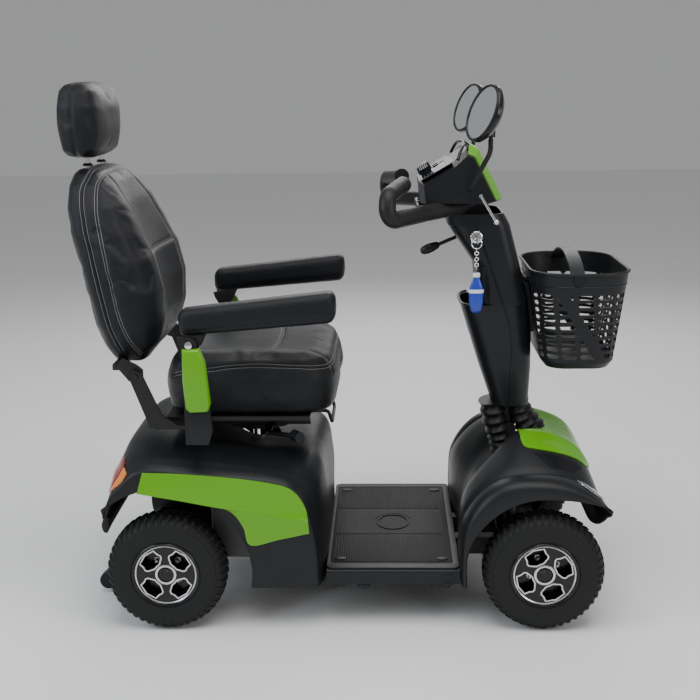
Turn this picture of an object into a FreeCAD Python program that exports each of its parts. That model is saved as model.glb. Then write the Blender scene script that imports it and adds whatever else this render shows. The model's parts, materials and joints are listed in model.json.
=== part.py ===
"""A four-wheel mobility scooter, one STEP file for each sub-part.

Millimetres. +X is the driving direction, +Y the rider's left, +Z up. The origin lies on the ground,
below the middle of the scooter. Every node is a function at its place; MAKE lists them at the end.
"""

import FreeCAD
import Part
import math
import os

V = FreeCAD.Vector
UP = V(0, 0, 1)
ACROSS = V(0, 1, 0)
AHEAD = V(1, 0, 0)

# ---------------------------------------------------------------- driving dimensions
SHAFT_GAP = 0.05  # radial running clearance of every pin in its bore
MOVE_GAP = 0.3  # between plain faces that pass or rest on each other

# Wheels
WHEEL_R = 130.0
TYRE_W = 85.0
RIM_R = 70.0
RIM_W = 72.0
TRACK_HALF = 252.5
REAR_AXLE_X = -392.6
FRONT_AXLE_X = 414.5
AXLE_R = 10.0
STUB_R = 8.5
NUT_CIRCLE_R = 31.0

# Chassis
RAIL_HALF_GAP = 47.0
RAIL_W = 30.0
RAIL_H = 40.0
DECK_Z = 127.0  # top of the rails, under the floor pan
REAR_RAIL_Z = 150.0  # underside of the raised rails over the rear axle
BRACKET_X = -352.0  # where the low rails end and the raised ones begin
AXLE_BEAM_H = 36.0
KINGPIN_Y = 190.0
KINGPIN_R = 7.0
BOSS_R = 14.0
STEER_ARM = 70.0
STEER_X = 362.0
STEER_R = 12.0
ROD_Z = 70.0  # underside of the tie rod
ROD_H = 12.0

# Floor
FLOOR_X0 = -49.5
FLOOR_X1 = 237.5
FLOOR_HALF = 266.0
FLOOR_WALL = 4.0
SILL_Z = 99.0
MAT_H = 3.0

# Bodywork
SKIN = 4.0
OPEN_BELOW = 90.0  # how far below its rim a body's inside is cut away
BODY_HALF = 285.0
PANEL_T = 4.0
REAR_ARCH_R = 192.0
FRONT_ARCH_R = 168.0
FENDER_LIP_Z = 286.0  # the front fenders' level edge ahead of the wheels
FRONT_WELL_R = 145.0
WELL_Y = 135.0
WELL_STEP_Y = 170.0

# Tiller
TILT_Z = 372.0
TILT_PIN_R = 8.0
MAST_R = 16.0
MAST_TOP_X = 292.0
MAST_TOP_Z = 872.0
COVER_T = 3.5
BAR_R = 17.5
BAR_Z = 890.0
BAR_X = 262.0
CONSOLE_HALF = 130.0

# Basket
BASKET_Z0 = 540.0
BASKET_Z1 = 752.0
BASKET_T = 3.0
BASKET_HALF = 165.0
BASKET_FRONT = 616.0

# Seat
POST_X = -210.0
POST_R = 19.0
SEAT_Z = 455.0
SWIVEL_Z = 391.0
RAIL_TOP_Z = 413.0
HINGE_X = -447.0
HINGE_Z = 554.0
ARM_X = -319.0
ARM_Z = 637.0
ARM_Y = 252.0
PAD_W = 60.0
PAD_LENGTH = 330.0
BACK_HALF = 214.0
HEAD_POST_X = -562.0
HEAD_POST_Y = 60.0
HEAD_POST_R = 5.0
SOCKET_R = 8.0


# ---------------------------------------------------------------- geometry helpers
def box(x0, x1, y0, y1, z0, z1):
    """A box between two corners."""
    return Part.makeBox(x1 - x0, y1 - y0, z1 - z0, V(x0, y0, z0))


def rod(start, end, r):
    """A round rod between two points."""
    start = V(*start)
    along = V(*end) - start
    return Part.makeCylinder(r, along.Length, start, along)


def ball(centre, r):
    """A sphere."""
    return Part.makeSphere(r, V(*centre))


def mirrored(shape):
    """The same shape on the other side of the scooter."""
    return shape.mirror(V(0, 0, 0), ACROSS)


def pair(shape):
    """A shape and its mirror image, as separate solids."""
    return Part.Compound(shape.Solids + mirrored(shape).Solids)


def fuse(shapes):
    """One clean solid from several that touch or cross."""
    whole = shapes[0].multiFuse(shapes[1:])
    return whole.removeSplitter()


def cut(shape, *tools):
    """A shape less the others, one after another."""
    for tool in tools:
        shape = shape.cut(tool)
    return shape


def polygon(points, y):
    """A closed outline of X, Z points in the plane at y."""
    corners = [V(x, y, z) for x, z in points]
    return Part.makePolygon(corners + corners[:1])


def slab(points, y0, y1):
    """An X, Z outline carried from y0 to y1."""
    return Part.Face(polygon(points, y0)).extrude(V(0, y1 - y0, 0))


def loft(wires, ruled=True):
    """A solid through closed outlines."""
    return Part.makeLoft(wires, True, ruled)


def rounded(x0, x1, half, r, z):
    """A rectangle with round corners, level at z and centred across the scooter."""
    corners = [(x1 - r, half - r, 0), (x0 + r, half - r, 90), (x0 + r, r - half, 180), (x1 - r, r - half, 270)]
    arcs = []
    for cx, cy, start in corners:
        turn = [math.radians(start + step) for step in (0, 45, 90)]
        arcs.append([V(cx + r * math.cos(a), cy + r * math.sin(a), z) for a in turn])
    edges = []
    for here, there in zip(arcs, arcs[1:] + arcs[:1]):
        edges.append(Part.Arc(*here).toShape())
        edges.append(Part.makeLine(here[2], there[0]))
    return Part.Wire(edges)


def tower(sections, grow=0.0):
    """A loft of level rounded rectangles: (z, x0, x1, half, radius), each grown by the given amount."""
    return loft([rounded(x0 - grow, x1 + grow, h + grow, max(r + grow, 2.0), z) for z, x0, x1, h, r in sections])


def turned(profile, centre, axis):
    """A solid of revolution. The profile holds (distance along the axis, radius) points."""
    axis = V(*axis)
    side = V(0, 0, 1) if abs(axis.z) < 0.5 else V(1, 0, 0)
    side = side - axis * axis.dot(side)
    side.normalize()
    corners = [V(*centre) + axis * a + side * r for a, r in profile]
    face = Part.Face(Part.makePolygon(corners + corners[:1]))
    return face.revolve(V(*centre), axis, 360)


def bent_path(points, radii):
    """A wire of straight runs joined by tangent arcs of the given radii."""
    points = [V(*p) for p in points]
    edges = []
    last = points[0]
    for before, here, after, r in zip(points, points[1:], points[2:], radii):
        back = (before - here).normalize()
        on = (after - here).normalize()
        half = back.getAngle(on) / 2
        reach = r / math.tan(half)
        middle = (back + on).normalize()
        centre = here + middle * (r / math.sin(half))
        edges.append(Part.makeLine(last, here + back * reach))
        edges.append(Part.Arc(here + back * reach, centre - middle * r, here + on * reach).toShape())
        last = here + on * reach
    edges.append(Part.makeLine(last, points[-1]))
    return Part.Wire(edges)


def tube(points, radii, r):
    """A round bar along a bent path."""
    path = bent_path(points, radii)
    start = path.Edges[0]
    ring = Part.Wire(Part.makeCircle(r, start.valueAt(start.FirstParameter), start.tangentAt(start.FirstParameter)))
    return path.makePipeShell([ring], True, True)


def across_loft(sections, grow=0.0, open_below=0.0):
    """A symmetric form: X, Z outlines at growing distances from the middle, mirrored to the far side.

    grow moves every outline point outwards, along the bisector of its two edges. open_below lowers
    the first point and the last two, which are an outline's underside.
    """
    wires = []
    for y, points in sections:
        outline = grown(points, grow)
        for i in (0, -1, -2):
            x, z = outline[i]
            outline[i] = (x, z - open_below)
        wires.append((y, outline))
    far = [polygon(outline, -y) for y, outline in reversed(wires) if y > 0]
    return loft(far + [polygon(outline, y) for y, outline in wires])


def grown(points, grow):
    """Each corner of a clockwise X, Z outline moved out by grow from both of its edges."""
    moved = []
    count = len(points)
    for i in range(count):
        a = V(points[i - 1][0], points[i - 1][1], 0)
        b = V(points[i][0], points[i][1], 0)
        c = V(points[(i + 1) % count][0], points[(i + 1) % count][1], 0)
        into = (b - a).normalize()
        out = (c - b).normalize()
        n1 = V(-into.y, into.x, 0)
        n2 = V(-out.y, out.x, 0)
        miter = (n1 + n2).normalize()
        step = grow / max(miter.dot(n1), 0.5)
        moved.append((b.x + miter.x * step, b.y + miter.y * step))
    return moved


# ---------------------------------------------------------------- wheels
def tyre(x, side):
    """One pneumatic tyre with a rounded tread and straight bead, at its place."""
    half = TYRE_W / 2
    profile = [
        (-half * 0.82, RIM_R),
        (-half, RIM_R + 22),
        (-half, WHEEL_R - 22),
        (-half * 0.9, WHEEL_R - 8),
        (-half * 0.6, WHEEL_R - 1.5),
        (0, WHEEL_R),
        (half * 0.6, WHEEL_R - 1.5),
        (half * 0.9, WHEEL_R - 8),
        (half, WHEEL_R - 22),
        (half, RIM_R + 22),
        (half * 0.82, RIM_R),
    ]
    return turned(profile, (x, side * TRACK_HALF, WHEEL_R), (0, 1, 0))


def spoked_disc(x, side, inner, outer):
    """The wheel's face: a disc between two depths with four windows and four nut holes."""
    centre = V(x, 0, WHEEL_R)
    disc = turned([(inner, 12), (inner, RIM_R - 4), (outer, RIM_R - 4), (outer, 12)],
                  (x, side * TRACK_HALF, WHEEL_R), (0, side, 0))
    window = slab([(24, -13), (24, 13), (50, 26), (56, 0), (50, -26)], -400, 400)
    tools = []
    for k in range(4):
        hole = window.copy()
        hole.rotate(V(0, 0, 0), ACROSS, 90 * k)
        hole.translate(centre)
        tools.append(hole)
    return cut(disc, *tools)


def wheel_parts(x, side, bore):
    """The rim's own solids: barrel with face and hub, four nuts and the centre cap."""
    centre = (x, side * TRACK_HALF, WHEEL_R)
    axis = (0, side, 0)
    half = RIM_W / 2
    barrel = turned([(-half, RIM_R - 6), (-half, RIM_R), (half, RIM_R), (half, RIM_R - 6)], centre, axis)
    hub = turned([(-20, bore), (-20, 22), (28, 22), (28, bore)], centre, axis)
    face = spoked_disc(x, side, 24, 30)
    ring = turned([(24, RIM_R - 8), (24, RIM_R - 5), (30, RIM_R - 5), (30, RIM_R - 8)], centre, axis)
    rim = fuse([barrel, face, hub, ring])
    nuts = []
    for k in range(4):
        turn = math.radians(45 + 90 * k)
        nx = x + NUT_CIRCLE_R * math.cos(turn)
        nz = WHEEL_R + NUT_CIRCLE_R * math.sin(turn)
        y0 = side * (TRACK_HALF + 12)
        nuts.append(rod((nx, y0, nz), (nx, y0 + side * 18, nz), 6.0))
    web = turned([(8, 22), (8, RIM_R - 6), (12, RIM_R - 6), (12, 22)], centre, axis)
    rim = fuse([rim, web])
    cap = turned([(30, 0), (30, 15), (33, 14), (35, 8), (35, 0)], centre, axis)
    return rim, nuts, cap


def rear_rim(side):
    """A rear rim with the half shaft that carries it into the axle tube."""
    rim, nuts, cap = wheel_parts(REAR_AXLE_X, side, AXLE_R)
    z = WHEEL_R
    shaft = rod((REAR_AXLE_X, side * 120, z), (REAR_AXLE_X, side * (TRACK_HALF + 28), z), AXLE_R)
    return Part.Compound([rim, cap, shaft] + [cut(n, rim) for n in nuts])


def front_rim(side):
    """A front rim that turns on the knuckle's stub axle."""
    rim, nuts, cap = wheel_parts(FRONT_AXLE_X, side, STUB_R + SHAFT_GAP)
    return Part.Compound([rim, cap] + [cut(n, rim) for n in nuts])


# ---------------------------------------------------------------- chassis
def chassis_frame():
    """Twin rails, the step over the rear axle, axle beam, steering head, seat socket and anti-tip arms."""
    y0, y1 = RAIL_HALF_GAP, RAIL_HALF_GAP + RAIL_W
    low = DECK_Z - RAIL_H
    rail = box(BRACKET_X, FRONT_AXLE_X - 15, y0, y1, low, DECK_Z)
    high = box(-445, BRACKET_X + 22, y0, y1, REAR_RAIL_Z, REAR_RAIL_Z + RAIL_H)
    step = box(BRACKET_X, BRACKET_X + 22, y0, y1, low, REAR_RAIL_Z + RAIL_H)
    sides = [rail, high, step]
    arm = slab([(-440, REAR_RAIL_Z + 2), (-440, REAR_RAIL_Z + 32), (-560, 44), (-579, 40), (-579, 22), (-562, 18)], y1, y1 + 7)
    lever_pin = rod((-425, y1, REAR_RAIL_Z + 20), (-425, y1 + 14, REAR_RAIL_Z + 20), 4.0)
    pieces = []
    for shape in sides + [arm]:
        pieces += [shape, mirrored(shape)]
    pieces.append(lever_pin)
    pieces.append(box(-300, -270, -y0, y0, low, DECK_Z))
    pieces.append(box(POST_X - 28, POST_X + 28, -y0, y0, low, DECK_Z))
    pieces.append(box(80, 110, -y0, y0, low, DECK_Z))
    pieces.append(box(STEER_X - 24, STEER_X + 24, -y0, y0, low, DECK_Z))
    beam_z = WHEEL_R - AXLE_BEAM_H / 2
    beam_end = KINGPIN_Y - BOSS_R + 3
    pieces.append(box(FRONT_AXLE_X - 15, FRONT_AXLE_X + 15, -beam_end, beam_end, beam_z, beam_z + AXLE_BEAM_H))
    for side in (-1, 1):
        foot = (FRONT_AXLE_X, side * KINGPIN_Y, beam_z)
        pieces.append(rod(foot, (foot[0], foot[1], beam_z + AXLE_BEAM_H), BOSS_R))
    pieces.append(rod((STEER_X, 0, low), (STEER_X, 0, 236), 22.0))
    pieces.append(rod((POST_X, 0, low), (POST_X, 0, 332), POST_R + 6))
    frame = fuse(pieces)
    bores = [rod((STEER_X, 0, low - 1), (STEER_X, 0, 240), STEER_R + SHAFT_GAP)]
    bores.append(rod((POST_X, 0, low + 8), (POST_X, 0, 340), POST_R + SHAFT_GAP))
    for side in (-1, 1):
        foot = (FRONT_AXLE_X, side * KINGPIN_Y, beam_z - 1)
        bores.append(rod(foot, (foot[0], foot[1], beam_z + AXLE_BEAM_H + 1), KINGPIN_R + SHAFT_GAP))
    bores.append(rod((-566, -200, 31), (-566, 200, 31), 5.0 + SHAFT_GAP))
    return cut(frame, *bores)


def floor_pan():
    """The foot well: a tray turned upside down over the rails, with jacking feet at the sills."""
    outer = box(FLOOR_X0, FLOOR_X1, -FLOOR_HALF, FLOOR_HALF, SILL_Z, DECK_Z + FLOOR_WALL)
    long_edges = [e for e in outer.Edges if abs(e.BoundBox.XLength) > 100 and e.BoundBox.ZMin > SILL_Z]
    outer = outer.makeFillet(6, long_edges)
    inner = box(FLOOR_X0 + 4, FLOOR_X1 - 4, 5 - FLOOR_HALF, FLOOR_HALF - 5, SILL_Z - 1, DECK_Z)
    pan = cut(outer, inner)
    gap = box(FLOOR_X0 - 30, FLOOR_X1 + 4, -RAIL_HALF_GAP - RAIL_W - 1, RAIL_HALF_GAP + RAIL_W + 1, SILL_Z - 1, DECK_Z)
    feet = []
    for x in (FLOOR_X0 + 18, FLOOR_X1 - 48):
        foot = box(x - 14, x + 14, 216, 246, 84, DECK_Z)
        feet += [foot, mirrored(foot)]
    return fuse([cut(pan, gap)] + feet)


def floor_mat():
    """The ribbed rubber mat on the foot well."""
    z = DECK_Z + FLOOR_WALL
    mat = box(FLOOR_X0 + 6, FLOOR_X1 - 14, 30 - FLOOR_HALF, FLOOR_HALF - 30, z, z + MAT_H)
    return mat.makeFillet(8, [e for e in mat.Edges if abs(e.BoundBox.ZLength) > 1])


def drive_unit():
    """Transaxle: differential case, axle tubes, and the motor lying ahead of it on top."""
    z = WHEEL_R
    case = rod((REAR_AXLE_X, 1 - RAIL_HALF_GAP, z), (REAR_AXLE_X, RAIL_HALF_GAP - 1, z), 50.0)
    tubes = rod((REAR_AXLE_X, -196, z), (REAR_AXLE_X, 196, z), 20.0)
    motor = rod((-468, 0, z + 78), (-320, 0, z + 78), 44.0)
    unit = fuse([case, tubes, motor])
    bore = rod((REAR_AXLE_X, -200, z), (REAR_AXLE_X, 200, z), AXLE_R + SHAFT_GAP)
    return cut(unit, bore)


def batteries():
    """Two batteries, one each side of the seat socket."""
    pack = box(-305, -112, 34, 190, DECK_Z, DECK_Z + 165)
    pack = pack.makeFillet(4, pack.Edges)
    return pair(pack)


def controller_box():
    """The motor controller, upright ahead of the batteries."""
    case = box(-104, -72, -80, 80, DECK_Z, DECK_Z + 110)
    return case.makeFillet(3, case.Edges)


def freewheel_lever():
    """The lever that frees the rear wheels, on its pin behind the left rail."""
    y = RAIL_HALF_GAP + RAIL_W + 1
    z = REAR_RAIL_Z + 20
    plate = slab([(-417, z - 9), (-417, z + 9), (-430, z + 11), (-500, z + 22), (-502, z + 10), (-432, z - 8)], y + 7, y + 12)
    knob = rod((-501, y + 9.5, z + 16), (-517, y + 9.5, z + 18.5), 7.0)
    hole = rod((-425, y - 10, z), (-425, y + 30, z), 4.0 + SHAFT_GAP)
    return cut(fuse([plate, knob]), hole)


def anti_tip_rollers():
    """Two small rollers on one rod behind the scooter."""
    arm_out = RAIL_HALF_GAP + RAIL_W + 7
    parts = [rod((-566, -arm_out - 22, 31), (-566, arm_out + 22, 31), 5.0)]
    for side in (-1, 1):
        y0 = side * (arm_out + 1)
        parts.append(rod((-566, y0, 31), (-566, y0 + side * 20, 31), 20.0))
    return fuse(parts)


# ---------------------------------------------------------------- bodywork
REAR_BODY = [
    (0, [(-530, 245), (-522, 300), (-510, 345), (-468, 396), (-330, 388), (-200, 358), (-85, 352), (-52, 273),
         (-50, SILL_Z), (-215, SILL_Z)]),
    (150, [(-530, 245), (-520, 300), (-508, 345), (-462, 402), (-325, 394), (-190, 376), (-72, 358), (-50, 273),
           (-50, SILL_Z), (-215, SILL_Z)]),
    (225, [(-528, 245), (-516, 300), (-500, 340), (-448, 384), (-310, 376), (-170, 360), (-84, 335), (-62, 273),
           (-56, SILL_Z), (-215, SILL_Z)]),
    (285, [(-522, 245), (-508, 298), (-480, 328), (-433, 362), (-300, 352), (-150, 336), (-104, 305), (-82, 255),
           (-66, SILL_Z), (-215, SILL_Z)]),
]
FRONT_BODY = [
    (0, [(240, SILL_Z), (285, 262), (318, 345), (340, 392), (440, 384), (505, 350), (540, 290), (558, 222),
         (537, 191), (520, 188)]),
    (110, [(239, SILL_Z), (262, 264), (330, 348), (374, 398), (438, 380), (500, 348), (538, 290), (556, 222),
           (537, 191), (520, 188)]),
    (200, [(238, SILL_Z), (240, 250), (292, 312), (345, 346), (428, 346), (495, 320), (537, 272), (552, 224),
           (536, 196), (520, 190)]),
    (285, [(243, SILL_Z), (244, 240), (284, 295), (335, 324), (415, 334), (492, 310), (526, 266), (536, 236),
           (530, 215), (520, 205)]),
]


def tail_lamp():
    """The left tail lamp, a block let into the body's rear corner."""
    block = slab([(-524, 290), (-513, 352), (-490, 352), (-496, 290)], 150, 262)
    return block.common(across_loft(REAR_BODY, 1.5))


def tail_lamps():
    """Both tail lamps."""
    return pair(tail_lamp())


def wheel_well(x, r, y0, y1):
    """Round space for a wheel, on both sides of the scooter."""
    well = rod((x, y0, WHEEL_R), (x, y1, WHEEL_R), r)
    return [well, mirrored(well)]


def skin_inside(body):
    """The space inside a body's skin, open below."""
    sections = [(min(y, BODY_HALF - SKIN), points) for y, points in body]
    return across_loft(sections, -SKIN, OPEN_BELOW)


def frame_way():
    """The way that the chassis rails take through the bodies' end walls."""
    half = RAIL_HALF_GAP + RAIL_W + 2
    return box(-500, 500, -half, half, 0, DECK_Z + 2)


def rear_shroud():
    """The moulded rear body: a thin skin over the batteries and axle, open below and round the wheels."""
    wells = wheel_well(REAR_AXLE_X, REAR_ARCH_R, 200, 400)
    post_hole = rod((POST_X, 0, 330), (POST_X, 0, 460), POST_R + 3)
    lamps = [tail_lamp(), mirrored(tail_lamp())]
    return cut(across_loft(REAR_BODY), skin_inside(REAR_BODY), post_hole, frame_way(), *lamps, *wells)


def rear_side_panels():
    """The coloured panels on both flanks of the rear body, arched over the wheels."""
    outline = [(-446, 312), (-433, 357), (-300, 347), (-160, 331), (-112, 300), (-88, 252), (-84, 222), (-206, 190)]
    panel = slab(outline, BODY_HALF, BODY_HALF + PANEL_T)
    arch = rod((REAR_AXLE_X, 200, WHEEL_R), (REAR_AXLE_X, 400, WHEEL_R), REAR_ARCH_R + 2)
    return pair(cut(panel, arch))


def rear_bumper():
    """The wrap-round bumper below the rear body."""
    outline = [(-534, 200), (-535, 243), (-505, 243), (-514, 206)]
    return cut(slab(outline, -190, 190), across_loft(REAR_BODY))


def headlamp():
    """The left headlamp, a slanted block let into the fender's front corner."""
    block = slab([(470, 322), (486, 336), (545, FENDER_LIP_Z + 3), (528, FENDER_LIP_Z + 3)], 196, 256)
    return block.common(across_loft(FRONT_BODY, 1.5))


def headlamps():
    """Both headlamps."""
    return pair(headlamp())


def hood_region():
    """The space over the hood that the coloured front panel takes."""
    outline = [(366, 330), (366, 420), (545, 420), (545, 300), (520, 300), (470, 330)]
    return slab(outline, -150, 150)


def front_panel():
    """The coloured hood on the front body, with a notch for the bellows."""
    skin = cut(across_loft(FRONT_BODY, PANEL_T), across_loft(FRONT_BODY))
    return cut(skin.common(hood_region()), boot_opening(6))


def boot_opening(grow=0.0):
    """The opening in the front body that the bellows comes through."""
    return tower([(250, 318, 440, 50, 40), (440, 318, 440, 50, 40)], grow)


def front_shroud():
    """The moulded front body: leg shield, hood and fenders in one skin, open below."""
    wells = wheel_well(FRONT_AXLE_X, FRONT_WELL_R, WELL_Y, WELL_STEP_Y)
    wells += wheel_well(FRONT_AXLE_X, FRONT_ARCH_R, WELL_STEP_Y, 400)
    ahead = box(FRONT_AXLE_X + 60, 620, WELL_STEP_Y, 400, 0, FENDER_LIP_Z)
    wells += [ahead, mirrored(ahead)]
    lamps = [headlamp(), mirrored(headlamp())]
    return cut(across_loft(FRONT_BODY), skin_inside(FRONT_BODY), boot_opening(), frame_way(), *lamps, *wells)


# ---------------------------------------------------------------- steering
def steering_shaft():
    """The upright steering shaft: pitman arm at the foot, fork and tilt pin at the head."""
    shaft = rod((STEER_X, 0, ROD_Z - 12), (STEER_X, 0, 342), STEER_R)
    arm = box(STEER_X - STEER_ARM - 8, STEER_X + 8, -8, 8, ROD_Z - 12, ROD_Z - 2)
    pin_x = STEER_X - STEER_ARM
    pin = rod((pin_x, 0, ROD_Z - 4), (pin_x, 0, ROD_Z + ROD_H + 2), 5.0)
    collar = rod((STEER_X, 0, 236 + MOVE_GAP), (STEER_X, 0, 246), 20.0)
    base = box(STEER_X - 18, STEER_X + 18, -26, 26, 340, 350)
    pieces = [shaft, arm, pin, collar, base]
    for y0 in (-26, MAST_R + 1.5):
        ear = box(STEER_X - 15, STEER_X + 15, y0, y0 + 8.5, 346, TILT_Z)
        pieces += [ear, rod((STEER_X, y0, TILT_Z), (STEER_X, y0 + 8.5, TILT_Z), 15.0)]
    pieces.append(rod((STEER_X, -28, TILT_Z), (STEER_X, 28, TILT_Z), TILT_PIN_R))
    return fuse(pieces)


def tie_rod():
    """The shallow V of the tie rod: pitman eye in the middle, a knuckle eye at each end."""
    z0, z1 = ROD_Z, ROD_Z + ROD_H
    ends = [(FRONT_AXLE_X - STEER_ARM, side * KINGPIN_Y) for side in (-1, 1)]
    centre = (STEER_X - STEER_ARM, 0)
    pieces = [rod((centre[0], centre[1], z0), (centre[0], centre[1], z1), 13.0)]
    for x, y in ends:
        pieces.append(rod((x, y, z0), (x, y, z1), 13.0))
        pieces.append(rod((centre[0], centre[1], (z0 + z1) / 2), (x, y, (z0 + z1) / 2), 5.5))
    bar = fuse(pieces)
    holes = [rod((centre[0], centre[1], z0 - 1), (centre[0], centre[1], z1 + 1), 5.0 + SHAFT_GAP)]
    holes += [rod((x, y, z0 - 1), (x, y, z1 + 1), 5.0 + MOVE_GAP) for x, y in ends]
    return cut(bar, *holes)


def knuckle(side):
    """A steering knuckle: yoke round the beam end, kingpin, stub axle and steering arm."""
    x, y, z = FRONT_AXLE_X, side * KINGPIN_Y, WHEEL_R
    top = z + AXLE_BEAM_H / 2 + MOVE_GAP
    low = z - AXLE_BEAM_H / 2 - MOVE_GAP
    web_in = KINGPIN_Y + BOSS_R + 2
    web_y = sorted((side * web_in, side * (web_in + 9)))
    lug_y = sorted((y, side * (web_in + 9)))
    pieces = [
        rod((x, y, low - 9), (x, y, top + 9), KINGPIN_R),
        rod((x, y, top), (x, y, top + 9), BOSS_R),
        rod((x, y, low - 9), (x, y, low), BOSS_R),
        box(x - 12, x + 12, lug_y[0], lug_y[1], top, top + 9),
        box(x - 12, x + 12, lug_y[0], lug_y[1], low - 9, low),
        box(x - 12, x + 12, web_y[0], web_y[1], low - 9, top + 9),
        rod((x, side * web_in, z), (x, side * (TRACK_HALF + 26), z), STUB_R),
        box(x - STEER_ARM - 8, x, y - 8, y + 8, low - 9, low),
        rod((x - STEER_ARM, y, ROD_Z - 2), (x - STEER_ARM, y, low - 4), 5.0),
    ]
    return fuse(pieces)


# ---------------------------------------------------------------- tiller
COVER_LOW = [
    (432, 322, 404, 46, 34),
    (520, 292, 407, 64, 44),
    (607, 265, 405, 78, 50),
    (672, 245, 396, 86, 50),
]
COVER_HIGH = [
    (672, 284, 396, 86, 40),
    (756, 278, 374, 90, 36),
    (847, 216, 350, 93, 36),
    (MAST_TOP_Z, 212, 336, 93, 36),
]
BOOT_X0 = 326.0
POCKET_X = 281.0
POCKET_Z = 580.0


def mast_x(z):
    """Where the leaning mast's axis is at height z."""
    return STEER_X + (MAST_TOP_X - STEER_X) * (z - TILT_Z) / (MAST_TOP_Z - TILT_Z)


def tiller_mast():
    """The leaning mast with its tilt eye, lever lugs and the clamp for the handlebar."""
    eye = rod((STEER_X, -MAST_R - 1, TILT_Z), (STEER_X, MAST_R + 1, TILT_Z), 15.0)
    mast = rod((mast_x(TILT_Z + 4), 0, TILT_Z + 4), (MAST_TOP_X, 0, MAST_TOP_Z), MAST_R)
    clamp = box(BAR_X - 24, MAST_TOP_X + 14, -30, 30, MAST_TOP_Z - 14, BAR_Z)
    lugs = [box(254, mast_x(818), y, y + 4, 809, 827) for y in (-17, 13)]
    solid = fuse([eye, mast, clamp] + lugs)
    tilt_bore = rod((STEER_X, -30, TILT_Z), (STEER_X, 30, TILT_Z), TILT_PIN_R + SHAFT_GAP)
    lever_bore = rod((262, -30, 818), (262, 30, 818), 4.0 + SHAFT_GAP)
    room = box(250, 272.5, -12.8, 12.8, 800, 836)
    return cut(solid, tilt_bore, lever_bore, room, bar_solid())


def sleeve(sections, wall):
    """A tower hollowed right through, leaving the given wall."""
    room = [list(section) for section in sections]
    room[0][0] -= 1
    room[-1][0] += 1
    return cut(tower(sections), tower(room, -wall))


def cover_shell():
    """Both tiller covers as one skin, with the map pocket at the rear."""
    step_z = COVER_HIGH[0][0]
    inside_low = tower(COVER_LOW, -COVER_T)
    wall = box(POCKET_X, POCKET_X + COVER_T, -200, 200, POCKET_Z - COVER_T, step_z).common(inside_low)
    shelf = box(200, POCKET_X, -200, 200, POCKET_Z - COVER_T, POCKET_Z).common(inside_low)
    shell = fuse([sleeve(COVER_LOW, COVER_T), sleeve(COVER_HIGH, COVER_T), wall, shelf])
    slot = box(190, 262, -9, 9, 790, 834)
    return cut(shell, slot, bar_solid())


def cover_split():
    """The half of space ahead of the seam between the two covers."""
    return slab([(372, 425), (308, 880), (500, 880), (500, 425)], -200, 200)


def tiller_cover_front():
    """The front cover of the tiller."""
    return cover_shell().common(cover_split())


def tiller_cover_rear():
    """The rear cover of the tiller, with the pocket, the key hole and the lever slot."""
    rear = cut(cover_shell(), cover_split())
    return cut(rear, rod((KEY_X, -120, KEY_Z), (KEY_X, -70, KEY_Z), 8.0 + SHAFT_GAP))


CONSOLE = [(157, 897), (153, 943), (226, 985), (258, 1016), (274, 1006), (326, 903), (300, 895), (250, 898)]
CONSOLE_SIDE = [(166, 900), (162, 938), (226, 974), (252, 998), (266, 992), (312, 903), (292, 897), (250, 899)]
FACE_RISE = math.atan2(985 - 943, 226 - 153)  # slope of the rider's face of the console


def console_solid(grow=0.0):
    """The console's outer form."""
    return across_loft([(0, CONSOLE), (90, CONSOLE), (CONSOLE_HALF, CONSOLE_SIDE)], grow)


def face_point(along, y, lift=0.0):
    """A point on the rider's face of the console, measured up its slope from the rear edge."""
    x = 153 + along * math.cos(FACE_RISE) - lift * math.sin(FACE_RISE)
    z = 943 + along * math.sin(FACE_RISE) + lift * math.cos(FACE_RISE)
    return (x, y, z)


def console_housing():
    """The black console shell with its control bores and the cut-outs for handlebar and stems."""
    sections = [(0, CONSOLE), (90, CONSOLE), (CONSOLE_HALF - COVER_T, CONSOLE_SIDE)]
    inner = across_loft(sections, -COVER_T)
    tools = [inner, bar_solid()]
    for along, y, r in CONTROL_SEATS:
        tools.append(rod(face_point(along, y, -9), face_point(along, y, 4), r + SHAFT_GAP))
    throttle_boss = rod((THROTTLE_X, 0, 896), (THROTTLE_X, 0, 912), 11.0)
    shell = fuse([cut(console_solid(), *tools), cut(throttle_boss, bar_solid())])
    throttle_bore = rod((THROTTLE_X, 0, 880), (THROTTLE_X, 0, 906), 5.0 + SHAFT_GAP)
    brake_bore = rod((BRAKE_X, -200, BRAKE_Z), (BRAKE_X, -100, BRAKE_Z), 4.0 + SHAFT_GAP)
    stem_bores = [rod((STEM_X, side * 200, STEM_Z), (STEM_X, side * 100, STEM_Z), 5.0) for side in (-1, 1)]
    return cut(shell, throttle_bore, brake_bore, *stem_bores)


def console_cover():
    """The coloured panel on the front of the console."""
    front = [(259, 1020), (270, 1014), (278, 1010), (331, 905), (318, 902), (268, 1002)]
    side = [(254, 1002), (262, 1000), (270, 996), (316, 905), (304, 902), (260, 988)]
    panel = across_loft([(0, front), (84, front), (CONSOLE_HALF - 8, side)])
    return cut(panel, console_solid())


def bar_solid():
    """The handlebar: across the clamp, out to both sides, round the bends and back to the grip ends."""
    half = [(BAR_X, 0, BAR_Z), (BAR_X, 62, BAR_Z), (165, 148, 882), (84, 248, 876), (86, 232, 926), (119, 105, 938)]
    side = tube(half, [60, 120, 22, 22], BAR_R)
    return fuse([side, mirrored(side)])


def handlebar():
    """The foam-covered handlebar as one piece."""
    return bar_solid()


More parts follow.
